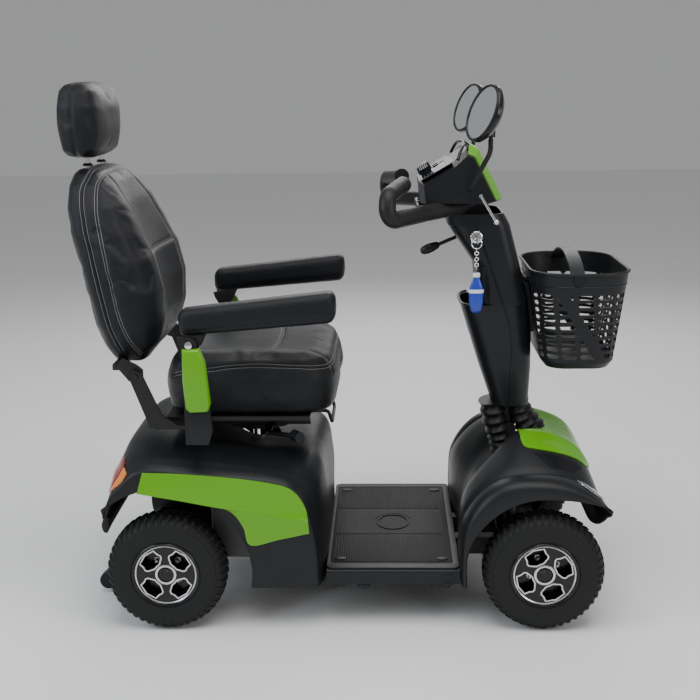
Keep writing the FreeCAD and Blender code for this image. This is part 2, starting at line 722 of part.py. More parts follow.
def tiller_bellows():
    """The corrugated boot between the front body and the tiller's covers."""
    folds = 6
    z0, z1 = 345.0, 429.0
    outer = []
    inner = []
    for k in range(2 * folds + 1):
        t = k / (2 * folds)
        swell = 5.0 if k % 2 else 0.0
        z = z0 + (z1 - z0) * t
        x1 = 436 - 36 * t
        outer.append((z, BOOT_X0 - swell, x1 + swell, 38 + swell, 30 + swell))
        inner.append((z, BOOT_X0 - swell + 2.5, x1 + swell - 2.5, 35.5 + swell, 27.5 + swell))
    return cut(tower(outer), tower(inner))


BRACKET_Z0 = 604.0
BRACKET_Z1 = 716.0


def basket_back(z):
    """Where the basket's back wall is at height z."""
    return 420 + (393 - 420) * (z - BASKET_Z0) / (BASKET_Z1 - BASKET_Z0)


def basket_bracket():
    """The bracket on the tiller that the basket hooks over."""
    outline = [(392, BRACKET_Z0), (376, BRACKET_Z1), (basket_back(BRACKET_Z1) - 1, BRACKET_Z1),
               (basket_back(BRACKET_Z0) - 1, BRACKET_Z0)]
    block = slab(outline, -42, 42)
    return cut(block, fuse([tower(COVER_LOW), tower(COVER_HIGH)]))


# ---------------------------------------------------------------- controls
THROTTLE_X = 190.0
BRAKE_X = 280.0
BRAKE_Z = 916.0
STEM_X = 256.0
STEM_Z = 930.0
KEY_X = 276.0
KEY_Z = 823.0
CONTROL_SEATS = [(22, -60, 6.0), (46, 14, 6.5), (46, 50, 6.5)]  # along the face, y, radius


def throttle_lever():
    """The wig-wag throttle bar under the console's rear edge."""
    pivot = rod((THROTTLE_X, 0, 884), (THROTTLE_X, 0, 905), 5.0)
    arm = box(150, THROTTLE_X + 8, -9, 9, 882, 893)
    bar = rod((152, -84, 886), (152, 84, 886), 5.5)
    return fuse([pivot, arm, bar])


def brake_lever():
    """The parking brake lever: shaft into the console, bent rod and end ball."""
    y = -CONSOLE_HALF
    shaft = rod((BRAKE_X, y + 8, BRAKE_Z), (BRAKE_X, y - 14, BRAKE_Z), 4.0)
    arm = rod((BRAKE_X, y - 11, BRAKE_Z), (312, y - 22, 862), 3.0)
    return fuse([shaft, arm, ball((312, y - 22, 862), 6.0)])


def speed_knob():
    """The speed dial on the rider's face of the console."""
    along, y, r = CONTROL_SEATS[0]
    stem = rod(face_point(along, y, -6), face_point(along, y, 3), r)
    head = rod(face_point(along, y, 1), face_point(along, y, 17), 12.5)
    return fuse([stem, head])


def push_button(seat):
    """A round push button in its bore, standing 4 mm proud."""
    along, y, r = seat
    return rod(face_point(along, y, -5), face_point(along, y, 4), r)


def tilt_lever():
    """The lever behind the tiller that frees its tilt."""
    pin = rod((262, -18, 818), (262, 18, 818), 4.0)
    root = rod((262, -8, 818), (262, 8, 818), 8.0)
    stick = rod((262, 0, 818), (186, 0, 790), 5.0)
    return fuse([pin, root, stick, ball((176, 0, 786), 14.0)])


def ignition_key():
    """The key in its lock barrel; the ring hangs on the bare shank between them."""
    barrel = rod((KEY_X, -80, KEY_Z), (KEY_X, -100, KEY_Z), 8.0)
    shank = rod((KEY_X, -99, KEY_Z), (KEY_X, -110, KEY_Z), 2.5)
    bow = box(KEY_X - 1.5, KEY_X + 1.5, -128, -109, KEY_Z - 10, KEY_Z + 10)
    return fuse([barrel, shank, bow])


def key_tag():
    """The key ring, its chain and the oval float tag."""
    y = -104.5
    ring_z = KEY_Z + 2.5 + MOVE_GAP - 8.0
    ring = Part.makeTorus(9.0, 1.0, V(KEY_X, y, ring_z), ACROSS)
    chain = rod((KEY_X, y, ring_z - 9), (KEY_X, y, 742), 1.5)
    tag = Part.makeSphere(1.0)
    shape = FreeCAD.Matrix()
    shape.scale(16.0, 6.5, 34.0)
    tag = tag.transformGeometry(shape)
    tag.translate(V(KEY_X, y, 692))
    neck = rod((KEY_X, y, 722), (KEY_X, y, 744), 6.0)
    return fuse([ring, chain, tag, neck])


# ---------------------------------------------------------------- mirrors
MIRROR_Y = 215.0
MIRROR_Z = 1085.0
MIRROR_X = 282.0
MIRROR_PIN_X = 292.0
MIRROR_PIN_Z = 1040.0
MIRROR_TILT = 20.0
MIRROR_TURN = 22.0


def mirror_stem():
    """The left mirror's stem, from its stub in the console to the pin under the mirror."""
    path = [(STEM_X, CONSOLE_HALF - 6, STEM_Z), (STEM_X, 152, STEM_Z), (MIRROR_PIN_X, MIRROR_Y, 1010),
            (MIRROR_PIN_X, MIRROR_Y, MIRROR_PIN_Z - 4)]
    stem = tube(path, [14, 30], 5.0)
    pin = rod((MIRROR_PIN_X, MIRROR_Y, MIRROR_PIN_Z - 8), (MIRROR_PIN_X, MIRROR_Y, MIRROR_PIN_Z + 16), 4.0)
    return fuse([stem, pin])


def mirror_stems():
    """Both mirror stems."""
    return pair(mirror_stem())


def mirror_head(side):
    """A domed round mirror housing with a pivot boss behind it, turned a little to the scooter's right."""
    pin = (MIRROR_PIN_X, side * MIRROR_Y)
    profile = [(-10, 0), (-10, 57), (-8, 59), (0, 58), (8, 50), (14, 34), (17, 16), (18, 0)]
    head = turned(profile, (0, 0, 0), (1, 0, 0))
    head.rotate(V(0, 0, 0), ACROSS, MIRROR_TILT)
    head.translate(V(MIRROR_X, side * MIRROR_Y, MIRROR_Z))
    head.rotate(V(*pin, 0), V(0, 0, 1), MIRROR_TURN)
    boss = rod((*pin, MIRROR_PIN_Z), (*pin, MIRROR_PIN_Z + 28), 9.0)
    bore = rod((*pin, MIRROR_PIN_Z - 9), (*pin, MIRROR_PIN_Z + 17), 4.0 + SHAFT_GAP)
    stem_room = rod((*pin, MIRROR_PIN_Z - 40), (*pin, MIRROR_PIN_Z - MOVE_GAP), 7.0)
    return cut(fuse([head, boss]), bore, stem_room)


# ---------------------------------------------------------------- basket
BAIL_X = 487.0
BAIL_Z = 742.0
BAIL_RISE = 42.0


def basket():
    """The moulded basket: tapered walls, a floor, and a hook over the bracket."""
    sections = [
        (BASKET_Z0, 430, 572, 128, 40),
        (BASKET_Z0 + 14, 419, 584, 140, 52),
        (BASKET_Z1, 393, BASKET_FRONT, BASKET_HALF, 78),
    ]
    floor_z = BASKET_Z0 + BASKET_T
    inside = [
        (floor_z, 430 + BASKET_T, 572 - BASKET_T, 128 - BASKET_T, 38),
        (BASKET_Z0 + 15, 419 + BASKET_T, 584 - BASKET_T, 140 - BASKET_T, 50),
        (BASKET_Z1 + 4, 393 + BASKET_T, BASKET_FRONT - BASKET_T, BASKET_HALF - BASKET_T, 76),
    ]
    wall = basket_back(BRACKET_Z1)
    hook = slab([(387, BRACKET_Z1 + MOVE_GAP), (387, BRACKET_Z1 + 9), (wall + 2, BRACKET_Z1 + 9),
                 (wall + 2, BRACKET_Z1 + MOVE_GAP)], -36, 36)
    shell = cut(fuse([tower(sections), hook]), tower(inside))
    pin_hole = rod((BAIL_X, -200, BAIL_Z), (BAIL_X, 200, BAIL_Z), 3.0 + SHAFT_GAP)
    return cut(shell, pin_hole)


def basket_handle():
    """The wide strap handle that arches over the basket between its two pins."""
    half = BASKET_HALF - BASKET_T - 4
    rise = BAIL_RISE
    outer = Part.Arc(V(BAIL_X, -half, BAIL_Z), V(BAIL_X, 0, BAIL_Z + rise), V(BAIL_X, half, BAIL_Z)).toShape()
    inner = Part.Arc(V(BAIL_X, -half + 3, BAIL_Z - 4), V(BAIL_X, 0, BAIL_Z + rise - 3.5), V(BAIL_X, half - 3, BAIL_Z - 4)).toShape()
    closing = [Part.makeLine(V(BAIL_X, half, BAIL_Z), V(BAIL_X, half - 3, BAIL_Z - 4)),
               Part.makeLine(V(BAIL_X, -half, BAIL_Z), V(BAIL_X, -half + 3, BAIL_Z - 4))]
    outline = Part.Wire(Part.__sortEdges__([outer, closing[0], inner, closing[1]]))
    strap = Part.Face(outline).extrude(V(30, 0, 0))
    strap.translate(V(-15, 0, 0))
    ends = []
    for side in (-1, 1):
        ear = rod((BAIL_X, side * (half - 5), BAIL_Z), (BAIL_X, side * half, BAIL_Z), 9.0)
        pin = rod((BAIL_X, side * (half - 5), BAIL_Z), (BAIL_X, side * (BASKET_HALF + 3), BAIL_Z), 3.0)
        ends += [ear, pin]
    return fuse([strap] + ends)


# ---------------------------------------------------------------- seat
def seat_post():
    """The telescopic seat post with its head flange and swivel spigot."""
    post = rod((POST_X, 0, DECK_Z + 14), (POST_X, 0, SWIVEL_Z - 6), POST_R)
    flange = rod((POST_X, 0, SWIVEL_Z - 9), (POST_X, 0, SWIVEL_Z - MOVE_GAP), 44.0)
    spigot = rod((POST_X, 0, SWIVEL_Z - 2), (POST_X, 0, SWIVEL_Z + 7), 10.0)
    return fuse([post, flange, spigot])


def swivel_plate():
    """The swivel plate on the post's head, with the two slide rails on it."""
    top = SWIVEL_Z + 10
    plate = rod((POST_X, 0, SWIVEL_Z), (POST_X, 0, top), 82.0)
    rails = [box(POST_X - 120, POST_X + 120, y, y + 14, top - 1, RAIL_TOP_Z) for y in (-74, 60)]
    solid = fuse([plate] + rails)
    spigot_bore = rod((POST_X, 0, SWIVEL_Z - 1), (POST_X, 0, SWIVEL_Z + 8), 10.0 + SHAFT_GAP)
    x, y, z = SWIVEL_LEVER
    lever_room = box(x - 14, x + 14, y - 1, y + 17, z - 4.3, z + 4.3)
    lever_pin = rod((x, y + 9, SWIVEL_Z), (x, y + 9, top), 3.0)
    return fuse([cut(solid, spigot_bore, lever_room), lever_pin])


SWIVEL_LEVER = (POST_X + 30.0, -84.0, SWIVEL_Z + 8.0)
SWIVEL_KNOB_Z = 411.0  # clears the rear body's crown when the seat is turned round


def swivel_lever():
    """The lever at the rider's right that frees the swivel."""
    x, y, z = SWIVEL_LEVER
    root = rod((x, y + 9, z - 4), (x, y + 9, z + 4), 8.0)
    blade = box(x - 6, x + 6, -140, y + 9, z - 4, z + 4)
    stick = rod((x, -132, z), (-113, -196, SWIVEL_KNOB_Z), 5.0)
    knob = rod((-119, -188, SWIVEL_KNOB_Z), (-104, -208, SWIVEL_KNOB_Z), 12.0)
    hole = rod((x, y + 9, z - 6), (x, y + 9, z + 6), 3.0 + SHAFT_GAP)
    return cut(fuse([root, blade, stick, knob]), hole)


SLIDE_PIN_X = -86.0
SLIDE_PIN_Z = 430.0


def seat_frame():
    """The seat's steel frame: base channel, seat board, hinge ears, armrest tube and lever lugs."""
    base = box(-345, -95, -92, 92, RAIL_TOP_Z + MOVE_GAP, 446)
    board = box(-392, -82, -196, 196, 446, SEAT_Z)
    tube_z = 424.0
    beam = box(ARM_X - 15, ARM_X + 15, -294, 294, tube_z, 446)
    pieces = [base, board, beam]
    for side in (-1, 1):
        y = sorted((side * 226, side * 232))
        ear = slab([(HINGE_X - 14, HINGE_Z), (HINGE_X - 4, HINGE_Z + 14), (HINGE_X + 14, HINGE_Z + 6),
                    (-395, 470), (-360, 446), (-420, 440)], y[0], y[1])
        foot = box(-412, -330, min(side * 190, side * 232), max(side * 190, side * 232), 438, 446)
        y = sorted((side * 286, side * 294))
        upright = box(ARM_X - 15, ARM_X + 15, y[0], y[1], tube_z, ARM_Z)
        head = rod((ARM_X, y[0], ARM_Z), (ARM_X, y[1], ARM_Z), 14.0)
        pin = rod((ARM_X, side * 262, ARM_Z), (ARM_X, side * 297, ARM_Z), 5.0)
        hinge_pin = rod((HINGE_X, side * 215, HINGE_Z), (HINGE_X, side * 236, HINGE_Z), 6.0)
        lug = box(-100, SLIDE_PIN_X + 8, side * 50 - 5, side * 50 + 5, 422, 446)
        pieces += [ear, foot, upright, head, pin, hinge_pin, lug]
    frame = fuse(pieces)
    return cut(frame, rod((SLIDE_PIN_X, -100, SLIDE_PIN_Z), (SLIDE_PIN_X, 100, SLIDE_PIN_Z), 4.0 + SHAFT_GAP))


def slide_lever():
    """The wire loop under the seat's front edge that frees the slide."""
    z = SLIDE_PIN_Z
    rail = rod((SLIDE_PIN_X, -66, z), (SLIDE_PIN_X, 66, z), 4.0)
    pieces = [rail]
    for side in (-1, 1):
        path = [(SLIDE_PIN_X, side * 64, z), (-50, side * 64, z - 2), (-42, side * 64, 402), (-42, 0, 402)]
        pieces.append(tube(path, [9, 9], 4.0))
    return fuse(pieces)


def seat_cushion():
    """The seat cushion, a plain crowned block."""
    return tower([
        (SEAT_Z, -392, -62, 205, 40),
        (SEAT_Z + 45, -406, -32, 230, 50),
        (SEAT_Z + 105, -409, -12, 234, 56),
        (SEAT_Z + 124, -400, -22, 222, 56),
        (SEAT_Z + 135, -372, -52, 190, 56),
    ])


BACK = [
    (578, -518, -424, 176, 34),
    (620, -530, -406, 204, 36),
    (689, -550, -394, BACK_HALF, 40),
    (752, -564, -400, BACK_HALF, 42),
    (819, -578, -424, BACK_HALF - 6, 40),
    (898, -592, -462, BACK_HALF - 26, 40),
    (955, -594, -502, 150, 32),
    (984, -580, -538, 112, 14),
]


def sockets(r):
    """The two upright sleeves that the headrest posts slide in."""
    return [rod((HEAD_POST_X, side * HEAD_POST_Y, 880), (HEAD_POST_X, side * HEAD_POST_Y, 992), r) for side in (-1, 1)]


def backrest_cushion():
    """The backrest, a plain contoured block with holes for the headrest sleeves."""
    return cut(tower(BACK), *sockets(SOCKET_R), box(-560, -440, -300, -BACK_HALF - 0.05, 500, 800),
               box(-560, -440, BACK_HALF + 0.05, 300, 500, 800))


def backrest_frame():
    """The backrest's steel: hinge arms, a bar under the cushion and the headrest sleeves."""
    pieces = []
    for side in (-1, 1):
        y = sorted((side * (BACK_HALF + 1), side * (BACK_HALF + 7)))
        arm = slab([(HINGE_X + 14, HINGE_Z - 10), (HINGE_X - 12, HINGE_Z - 14), (HINGE_X - 54, 590),
                    (HINGE_X - 66, 690), (HINGE_X - 36, 700), (HINGE_X - 22, 600), (HINGE_X + 14, HINGE_Z + 12)], y[0], y[1])
        pieces.append(arm)
    pieces.append(box(HINGE_X - 50, HINGE_X - 30, -BACK_HALF - 3, BACK_HALF + 3, 564, 577))
    arms = cut(fuse(pieces), rod((HINGE_X, -260, HINGE_Z), (HINGE_X, 260, HINGE_Z), 6.0 + SHAFT_GAP))
    sleeves = []
    for outer, bore in zip(sockets(SOCKET_R), sockets(HEAD_POST_R + SHAFT_GAP)):
        sleeves.append(cut(outer, bore))
    return Part.Compound([arms] + sleeves)


def headrest():
    """The headrest pad on its two posts."""
    pad = tower([
        (1003, -600, -530, 104, 24),
        (1020, -612, -520, 122, 30),
        (1080, -616, -518, 130, 34),
        (1140, -614, -526, 126, 32),
        (1160, -602, -544, 108, 22),
    ])
    posts = []
    for side in (-1, 1):
        y = side * HEAD_POST_Y
        post = rod((HEAD_POST_X, y, 900), (HEAD_POST_X, y, 1030), HEAD_POST_R)
        posts.append(cut(post, pad))
    return Part.Compound([pad] + posts)


def armrest_pad(side):
    """An armrest pad with the lug that it flips up on."""
    pad = Part.makeBox(PAD_LENGTH, PAD_W, 66)
    pad = pad.makeFillet(14, [e for e in pad.Edges if e.BoundBox.XLength > 100])
    pad = pad.makeChamfer(12, [e for e in pad.Edges if e.BoundBox.YLength > 30 and e.BoundBox.XMin > PAD_LENGTH - 1])
    pad.translate(V(0, -PAD_W / 2, 0))
    pad.rotate(V(0, 0, 0), ACROSS, -5)
    pad.translate(V(ARM_X - 24, side * ARM_Y, ARM_Z + 9))
    y = sorted((side * 262, side * 280))
    lug = rod((ARM_X, y[0], ARM_Z), (ARM_X, y[1], ARM_Z), 12.0)
    lug = fuse([lug, box(ARM_X - 10, ARM_X + 22, y[0], y[1], ARM_Z, ARM_Z + 16)])
    bore = rod((ARM_X, -320, ARM_Z), (ARM_X, 320, ARM_Z), 5.0 + SHAFT_GAP)
    return cut(fuse([pad, lug]), bore)


def armrest_covers():
    """The coloured covers over the armrest uprights."""
    outline = [(ARM_X - 11, 627), (ARM_X + 26, 630), (ARM_X + 40, 512), (ARM_X + 34, 500), (ARM_X - 10, 495)]
    cover = slab(outline, 284.3, 304)
    cover = cover.makeFillet(5, [e for e in cover.Edges if e.BoundBox.YMin > 303.9])
    upright = box(ARM_X - 15, ARM_X + 15, 286, 294, 400, ARM_Z)
    pin = rod((ARM_X, 200, ARM_Z), (ARM_X, 310, ARM_Z), 14.0)
    return pair(cut(cover, upright, pin))


# ---------------------------------------------------------------- the nodes
MAKE = {
    "chassis_frame": chassis_frame,
    "floor_pan": floor_pan,
    "floor_mat": floor_mat,
    "drive_unit": drive_unit,
    "batteries": batteries,
    "controller_box": controller_box,
    "freewheel_lever": freewheel_lever,
    "anti_tip_rollers": anti_tip_rollers,
    "rear_shroud": rear_shroud,
    "rear_side_panels": rear_side_panels,
    "rear_bumper": rear_bumper,
    "tail_lamps": tail_lamps,
    "front_shroud": front_shroud,
    "front_panel": front_panel,
    "headlamps": headlamps,
    "steering_shaft": steering_shaft,
    "tie_rod": tie_rod,
    "tiller_mast": tiller_mast,
    "tiller_cover_rear": tiller_cover_rear,
    "tiller_cover_front": tiller_cover_front,
    "tiller_bellows": tiller_bellows,
    "console_housing": console_housing,
    "console_cover": console_cover,
    "handlebar": handlebar,
    "basket_bracket": basket_bracket,
    "basket": basket,
    "basket_handle": basket_handle,
    "throttle_lever": throttle_lever,
    "brake_lever": brake_lever,
    "speed_knob": speed_knob,
    "horn_button": lambda: push_button(CONTROL_SEATS[1]),
    "light_button": lambda: push_button(CONTROL_SEATS[2]),
    "tilt_lever": tilt_lever,
    "ignition_key": ignition_key,
    "key_tag": key_tag,
    "mirror_stems": mirror_stems,
    "mirror_head_left": lambda: mirror_head(1),
    "mirror_head_right": lambda: mirror_head(-1),
    "seat_post": seat_post,
    "swivel_plate": swivel_plate,
    "swivel_lever": swivel_lever,
    "seat_frame": seat_frame,
    "slide_lever": slide_lever,
    "seat_cushion": seat_cushion,
    "backrest_frame": backrest_frame,
    "backrest_cushion": backrest_cushion,
    "headrest": headrest,
    "armrest_covers": armrest_covers,
}
for name, side in (("left", 1), ("right", -1)):
    MAKE["rear_tyre_" + name] = lambda side=side: tyre(REAR_AXLE_X, side)
    MAKE["front_tyre_" + name] = lambda side=side: tyre(FRONT_AXLE_X, side)
    MAKE["rear_rim_" + name] = lambda side=side: rear_rim(side)
    MAKE["front_rim_" + name] = lambda side=side: front_rim(side)
    MAKE["knuckle_" + name] = lambda side=side: knuckle(side)
    MAKE["armrest_pad_" + name] = lambda side=side: armrest_pad(side)

os.makedirs("parts", exist_ok=True)
for node, make in MAKE.items():
    shape = make()
    shape.exportStep("parts/" + node + ".step")
    print(node, "solids", len(shape.Solids), "valid", shape.isValid(), "volume", round(shape.Volume / 1000, 1), "cm3")
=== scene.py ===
# %% [markdown]
# # A four-wheel mobility scooter, built up around its working frame
#
# The frame is the scooter's working model: every part that turns, slides or carries load, at its real size.
# This lesson dresses it: skins, padding, rubber, lamps and fastenings. Nothing in the frame is moved, so a new
# piece takes its place from the part that it covers and rides on that part's body.
# %% Load the frame
import math
import json

import bpy
import bmesh
from mathutils import Matrix, Vector, noise
from mathutils.bvhtree import BVHTree
from mathutils.kdtree import KDTree


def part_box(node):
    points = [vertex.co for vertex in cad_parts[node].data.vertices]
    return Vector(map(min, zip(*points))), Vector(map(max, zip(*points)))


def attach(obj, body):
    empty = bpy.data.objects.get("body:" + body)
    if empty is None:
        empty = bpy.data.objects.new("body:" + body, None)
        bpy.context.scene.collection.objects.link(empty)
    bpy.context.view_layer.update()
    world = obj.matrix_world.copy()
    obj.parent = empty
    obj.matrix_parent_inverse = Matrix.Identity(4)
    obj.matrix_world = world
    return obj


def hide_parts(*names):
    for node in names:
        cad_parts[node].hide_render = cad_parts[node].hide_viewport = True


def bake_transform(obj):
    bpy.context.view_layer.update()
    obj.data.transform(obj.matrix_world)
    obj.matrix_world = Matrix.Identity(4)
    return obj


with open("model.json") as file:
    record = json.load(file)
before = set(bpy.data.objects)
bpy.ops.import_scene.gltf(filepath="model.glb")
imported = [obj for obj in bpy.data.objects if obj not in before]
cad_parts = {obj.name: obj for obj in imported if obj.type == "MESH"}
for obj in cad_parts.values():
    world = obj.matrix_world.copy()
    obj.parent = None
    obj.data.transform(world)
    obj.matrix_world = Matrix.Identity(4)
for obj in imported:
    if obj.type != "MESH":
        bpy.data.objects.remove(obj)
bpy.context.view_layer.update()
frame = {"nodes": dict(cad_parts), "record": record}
MM = 0.001

# %% [markdown]
# ## Camera, lights and floor
# A scooter is best judged from the side, a little above the seat, through a moderately long lens so that the near
# wheels aren't swollen. The light is what a small studio gives: one big soft source overhead, a cool one behind the
# seat that draws a sheen on the black parts, and a weak fill at the front.
# %% Camera
CAMERA_PLACE = Vector((0.0834, -2.4992, 1.155))
CAMERA_DOWN, CAMERA_TURN, CAMERA_ROLL = 0.236, -0.034, -0.013
CAMERA_LENS = 57.8


def camera_axes(down, turn, roll):
    """Right, up and backward directions of a camera that looks along +Y before it is turned."""
    ahead = Vector((math.sin(turn) * math.cos(down), math.cos(turn) * math.cos(down), -math.sin(down)))
    right = Vector((math.cos(turn), -math.sin(turn), 0))
    up = right.cross(ahead)
    rolled = right * math.cos(roll) + up * math.sin(roll)
    return rolled, up * math.cos(roll) - right * math.sin(roll), -ahead


camera = bpy.data.objects.new("camera", bpy.data.cameras.new("camera"))
camera.data.lens = CAMERA_LENS
bpy.context.scene.collection.objects.link(camera)
camera.matrix_world = Matrix.Translation(CAMERA_PLACE) @ Matrix(
    camera_axes(CAMERA_DOWN, CAMERA_TURN, CAMERA_ROLL)).transposed().to_4x4()
bpy.context.scene.camera = camera


# %% Lights and floor
def soft_light(name, place, target, size, watts, colour):
    """A square soft box at a place, facing a target."""
    lamp = bpy.data.lights.new(name, "AREA")
    lamp.shape, lamp.size, lamp.energy, lamp.color = "SQUARE", size, watts, colour
    holder = bpy.data.objects.new(name, lamp)
    holder.location = place
    holder.rotation_euler = (Vector(target) - Vector(place)).to_track_quat("-Z", "Y").to_euler()
    bpy.context.scene.collection.objects.link(holder)


soft_light("overhead", (0.3, -0.9, 3.2), (0, 0, 0.4), 2.4, 75, (1.0, 0.99, 0.97))
soft_light("behind_seat", (-2.6, -1.4, 1.9), (-0.2, 0, 0.6), 1.6, 45, (0.86, 0.93, 1.0))
soft_light("ahead", (2.6, -1.8, 1.5), (0.2, 0, 0.5), 1.4, 22, (1.0, 0.98, 0.95))
soft_light("far_side", (0.2, 2.8, 2.2), (0, 0, 0.5), 2.0, 30, (1.0, 1.0, 1.0))
world = bpy.data.worlds.new("studio")
world.use_nodes = True
world.node_tree.nodes["Background"].inputs[0].default_value = (0.93, 0.94, 0.95, 1)
world.node_tree.nodes["Background"].inputs[1].default_value = 0.36
bpy.context.scene.world = world

FLOOR_HALF = 12.0
floor_mesh = bpy.data.meshes.new("studio_floor")
floor_mesh.from_pydata([(-FLOOR_HALF, -FLOOR_HALF, 0), (FLOOR_HALF, -FLOOR_HALF, 0),
                        (FLOOR_HALF, FLOOR_HALF, 0), (-FLOOR_HALF, FLOOR_HALF, 0)], [], [(0, 1, 2, 3)])
studio_floor = bpy.data.objects.new("studio_floor", floor_mesh)
bpy.context.scene.collection.objects.link(studio_floor)

# %% [markdown]
# ## Finishes
# Most of the scooter is black, and what tells one black from another is texture: a fine spark-eroded grain on the
# moulded covers, pebbled leatherette, dusty rubber, smooth foam. So three shader groups do most of the work, each
# with its own inputs: a moulded grain, a pebbled hide and a film of dust and handling. Each finish then
# sets its own scale, depth and colours.
# %% Shader groups
def shader_group(name, inputs, outputs):
    """An empty shader group with named float or colour inputs and outputs."""
    group = bpy.data.node_groups.new(name, "ShaderNodeTree")
    kinds = {"float": "NodeSocketFloat", "colour": "NodeSocketColor", "vector": "NodeSocketVector"}
    for label, kind, value in inputs:
        socket = group.interface.new_socket(label, in_out="INPUT", socket_type=kinds[kind])
        if value is not None:
            socket.default_value = value
    for label, kind in outputs:
        group.interface.new_socket(label, in_out="OUTPUT", socket_type=kinds[kind])
    return group, group.nodes.new("NodeGroupInput"), group.nodes.new("NodeGroupOutput")


def add(tree, kind, **settings):
    """One node; a setting named after a socket fills that socket, any other sets a property."""
    node = tree.nodes.new(kind)
    for key, value in settings.items():
        if hasattr(node, key):
            setattr(node, key, value)
        else:
            node.inputs[key.replace("_", " ")].default_value = value
    return node


def build_moulded_grain():
    """Fine eroded texture of moulded plastic: two sizes of noise."""
    group, given, out = shader_group("moulded_grain", [("Vector", "vector", None), ("Scale", "float", 900.0)],
                                     [("Height", "float")])
    link = group.links.new
    fine = add(group, "ShaderNodeTexNoise", Detail=3.0, Roughness=0.6)
    cells = add(group, "ShaderNodeTexVoronoi", feature="SMOOTH_F1")
    both = add(group, "ShaderNodeMath", operation="MULTIPLY_ADD")
    both.inputs[1].default_value = 0.6
    for texture in (fine, cells):
        link(given.outputs["Vector"], texture.inputs["Vector"])
        link(given.outputs["Scale"], texture.inputs["Scale"])
    link(fine.outputs["Fac"], both.inputs[0])
    link(cells.outputs["Distance"], both.inputs[2])
    link(both.outputs[0], out.inputs["Height"])
    return group


def build_pebbled_hide():
    """Leatherette: rounded pebbles of uneven size, split by valleys, with soft creases over them."""
    group, given, out = shader_group("pebbled_hide", [("Vector", "vector", None), ("Scale", "float", 420.0)],
                                     [("Height", "float"), ("Valley", "float")])
    link = group.links.new
    bend = add(group, "ShaderNodeTexNoise", Scale=60.0, Detail=2.0)
    spread = add(group, "ShaderNodeVectorMath", operation="MULTIPLY_ADD")
    spread.inputs[1].default_value = (0.004, 0.004, 0.004)
    pebbles = add(group, "ShaderNodeTexVoronoi", feature="DISTANCE_TO_EDGE")
    creases = add(group, "ShaderNodeTexNoise", Scale=26.0, Detail=4.0, Roughness=0.55)
    valley = add(group, "ShaderNodeMapRange", From_Max=0.25)
    total = add(group, "ShaderNodeMath", operation="MULTIPLY_ADD")
    total.inputs[1].default_value = 1.6
    link(given.outputs["Vector"], bend.inputs["Vector"])
    link(bend.outputs["Color"], spread.inputs[0])
    link(given.outputs["Vector"], spread.inputs[2])
    link(spread.outputs[0], pebbles.inputs["Vector"])
    link(given.outputs["Scale"], pebbles.inputs["Scale"])
    link(given.outputs["Vector"], creases.inputs["Vector"])
    link(pebbles.outputs["Distance"], valley.inputs["Value"])
    link(creases.outputs["Fac"], total.inputs[0])
    link(valley.outputs["Result"], total.inputs[2])
    link(total.outputs[0], out.inputs["Height"])
    link(valley.outputs["Result"], out.inputs["Valley"])
    return group


def build_handling():
    """Dust and handling marks: patches of a paler colour and a changed gloss."""
    group, given, out = shader_group(
        "dust_and_handling",
        [("Vector", "vector", None), ("Colour", "colour", None), ("Dust", "colour", (0.2, 0.19, 0.17, 1)),
         ("Amount", "float", 0.1), ("Gloss", "float", 0.4), ("Spread", "float", 0.15), ("Scale", "float", 9.0)],
        [("Colour", "colour"), ("Roughness", "float")])
    link = group.links.new
    broad = add(group, "ShaderNodeTexNoise", Detail=5.0, Roughness=0.62)
    specks = add(group, "ShaderNodeTexNoise", Scale=260.0, Detail=2.0)
    both = add(group, "ShaderNodeMath", operation="MULTIPLY")
    patch = add(group, "ShaderNodeMapRange", From_Min=0.16, From_Max=0.42)
    share = add(group, "ShaderNodeMath", operation="MULTIPLY")
    mix = add(group, "ShaderNodeMix", data_type="RGBA")
    rough = add(group, "ShaderNodeMath", operation="MULTIPLY_ADD")
    link(given.outputs["Vector"], broad.inputs["Vector"])
    link(given.outputs["Scale"], broad.inputs["Scale"])
    link(given.outputs["Vector"], specks.inputs["Vector"])
    link(broad.outputs["Fac"], both.inputs[0])
    link(specks.outputs["Fac"], both.inputs[1])
    link(both.outputs[0], patch.inputs["Value"])
    link(patch.outputs["Result"], share.inputs[0])
    link(given.outputs["Amount"], share.inputs[1])
    link(share.outputs[0], mix.inputs["Factor"])
    link(given.outputs["Colour"], mix.inputs["A"])
    link(given.outputs["Dust"], mix.inputs["B"])
    link(patch.outputs["Result"], rough.inputs[0])
    link(given.outputs["Spread"], rough.inputs[1])
    link(given.outputs["Gloss"], rough.inputs[2])
    link(mix.outputs["Result"], out.inputs["Colour"])
    link(rough.outputs[0], out.inputs["Roughness"])
    return group


GRAIN, HIDE, HANDLING = build_moulded_grain(), build_pebbled_hide(), build_handling()


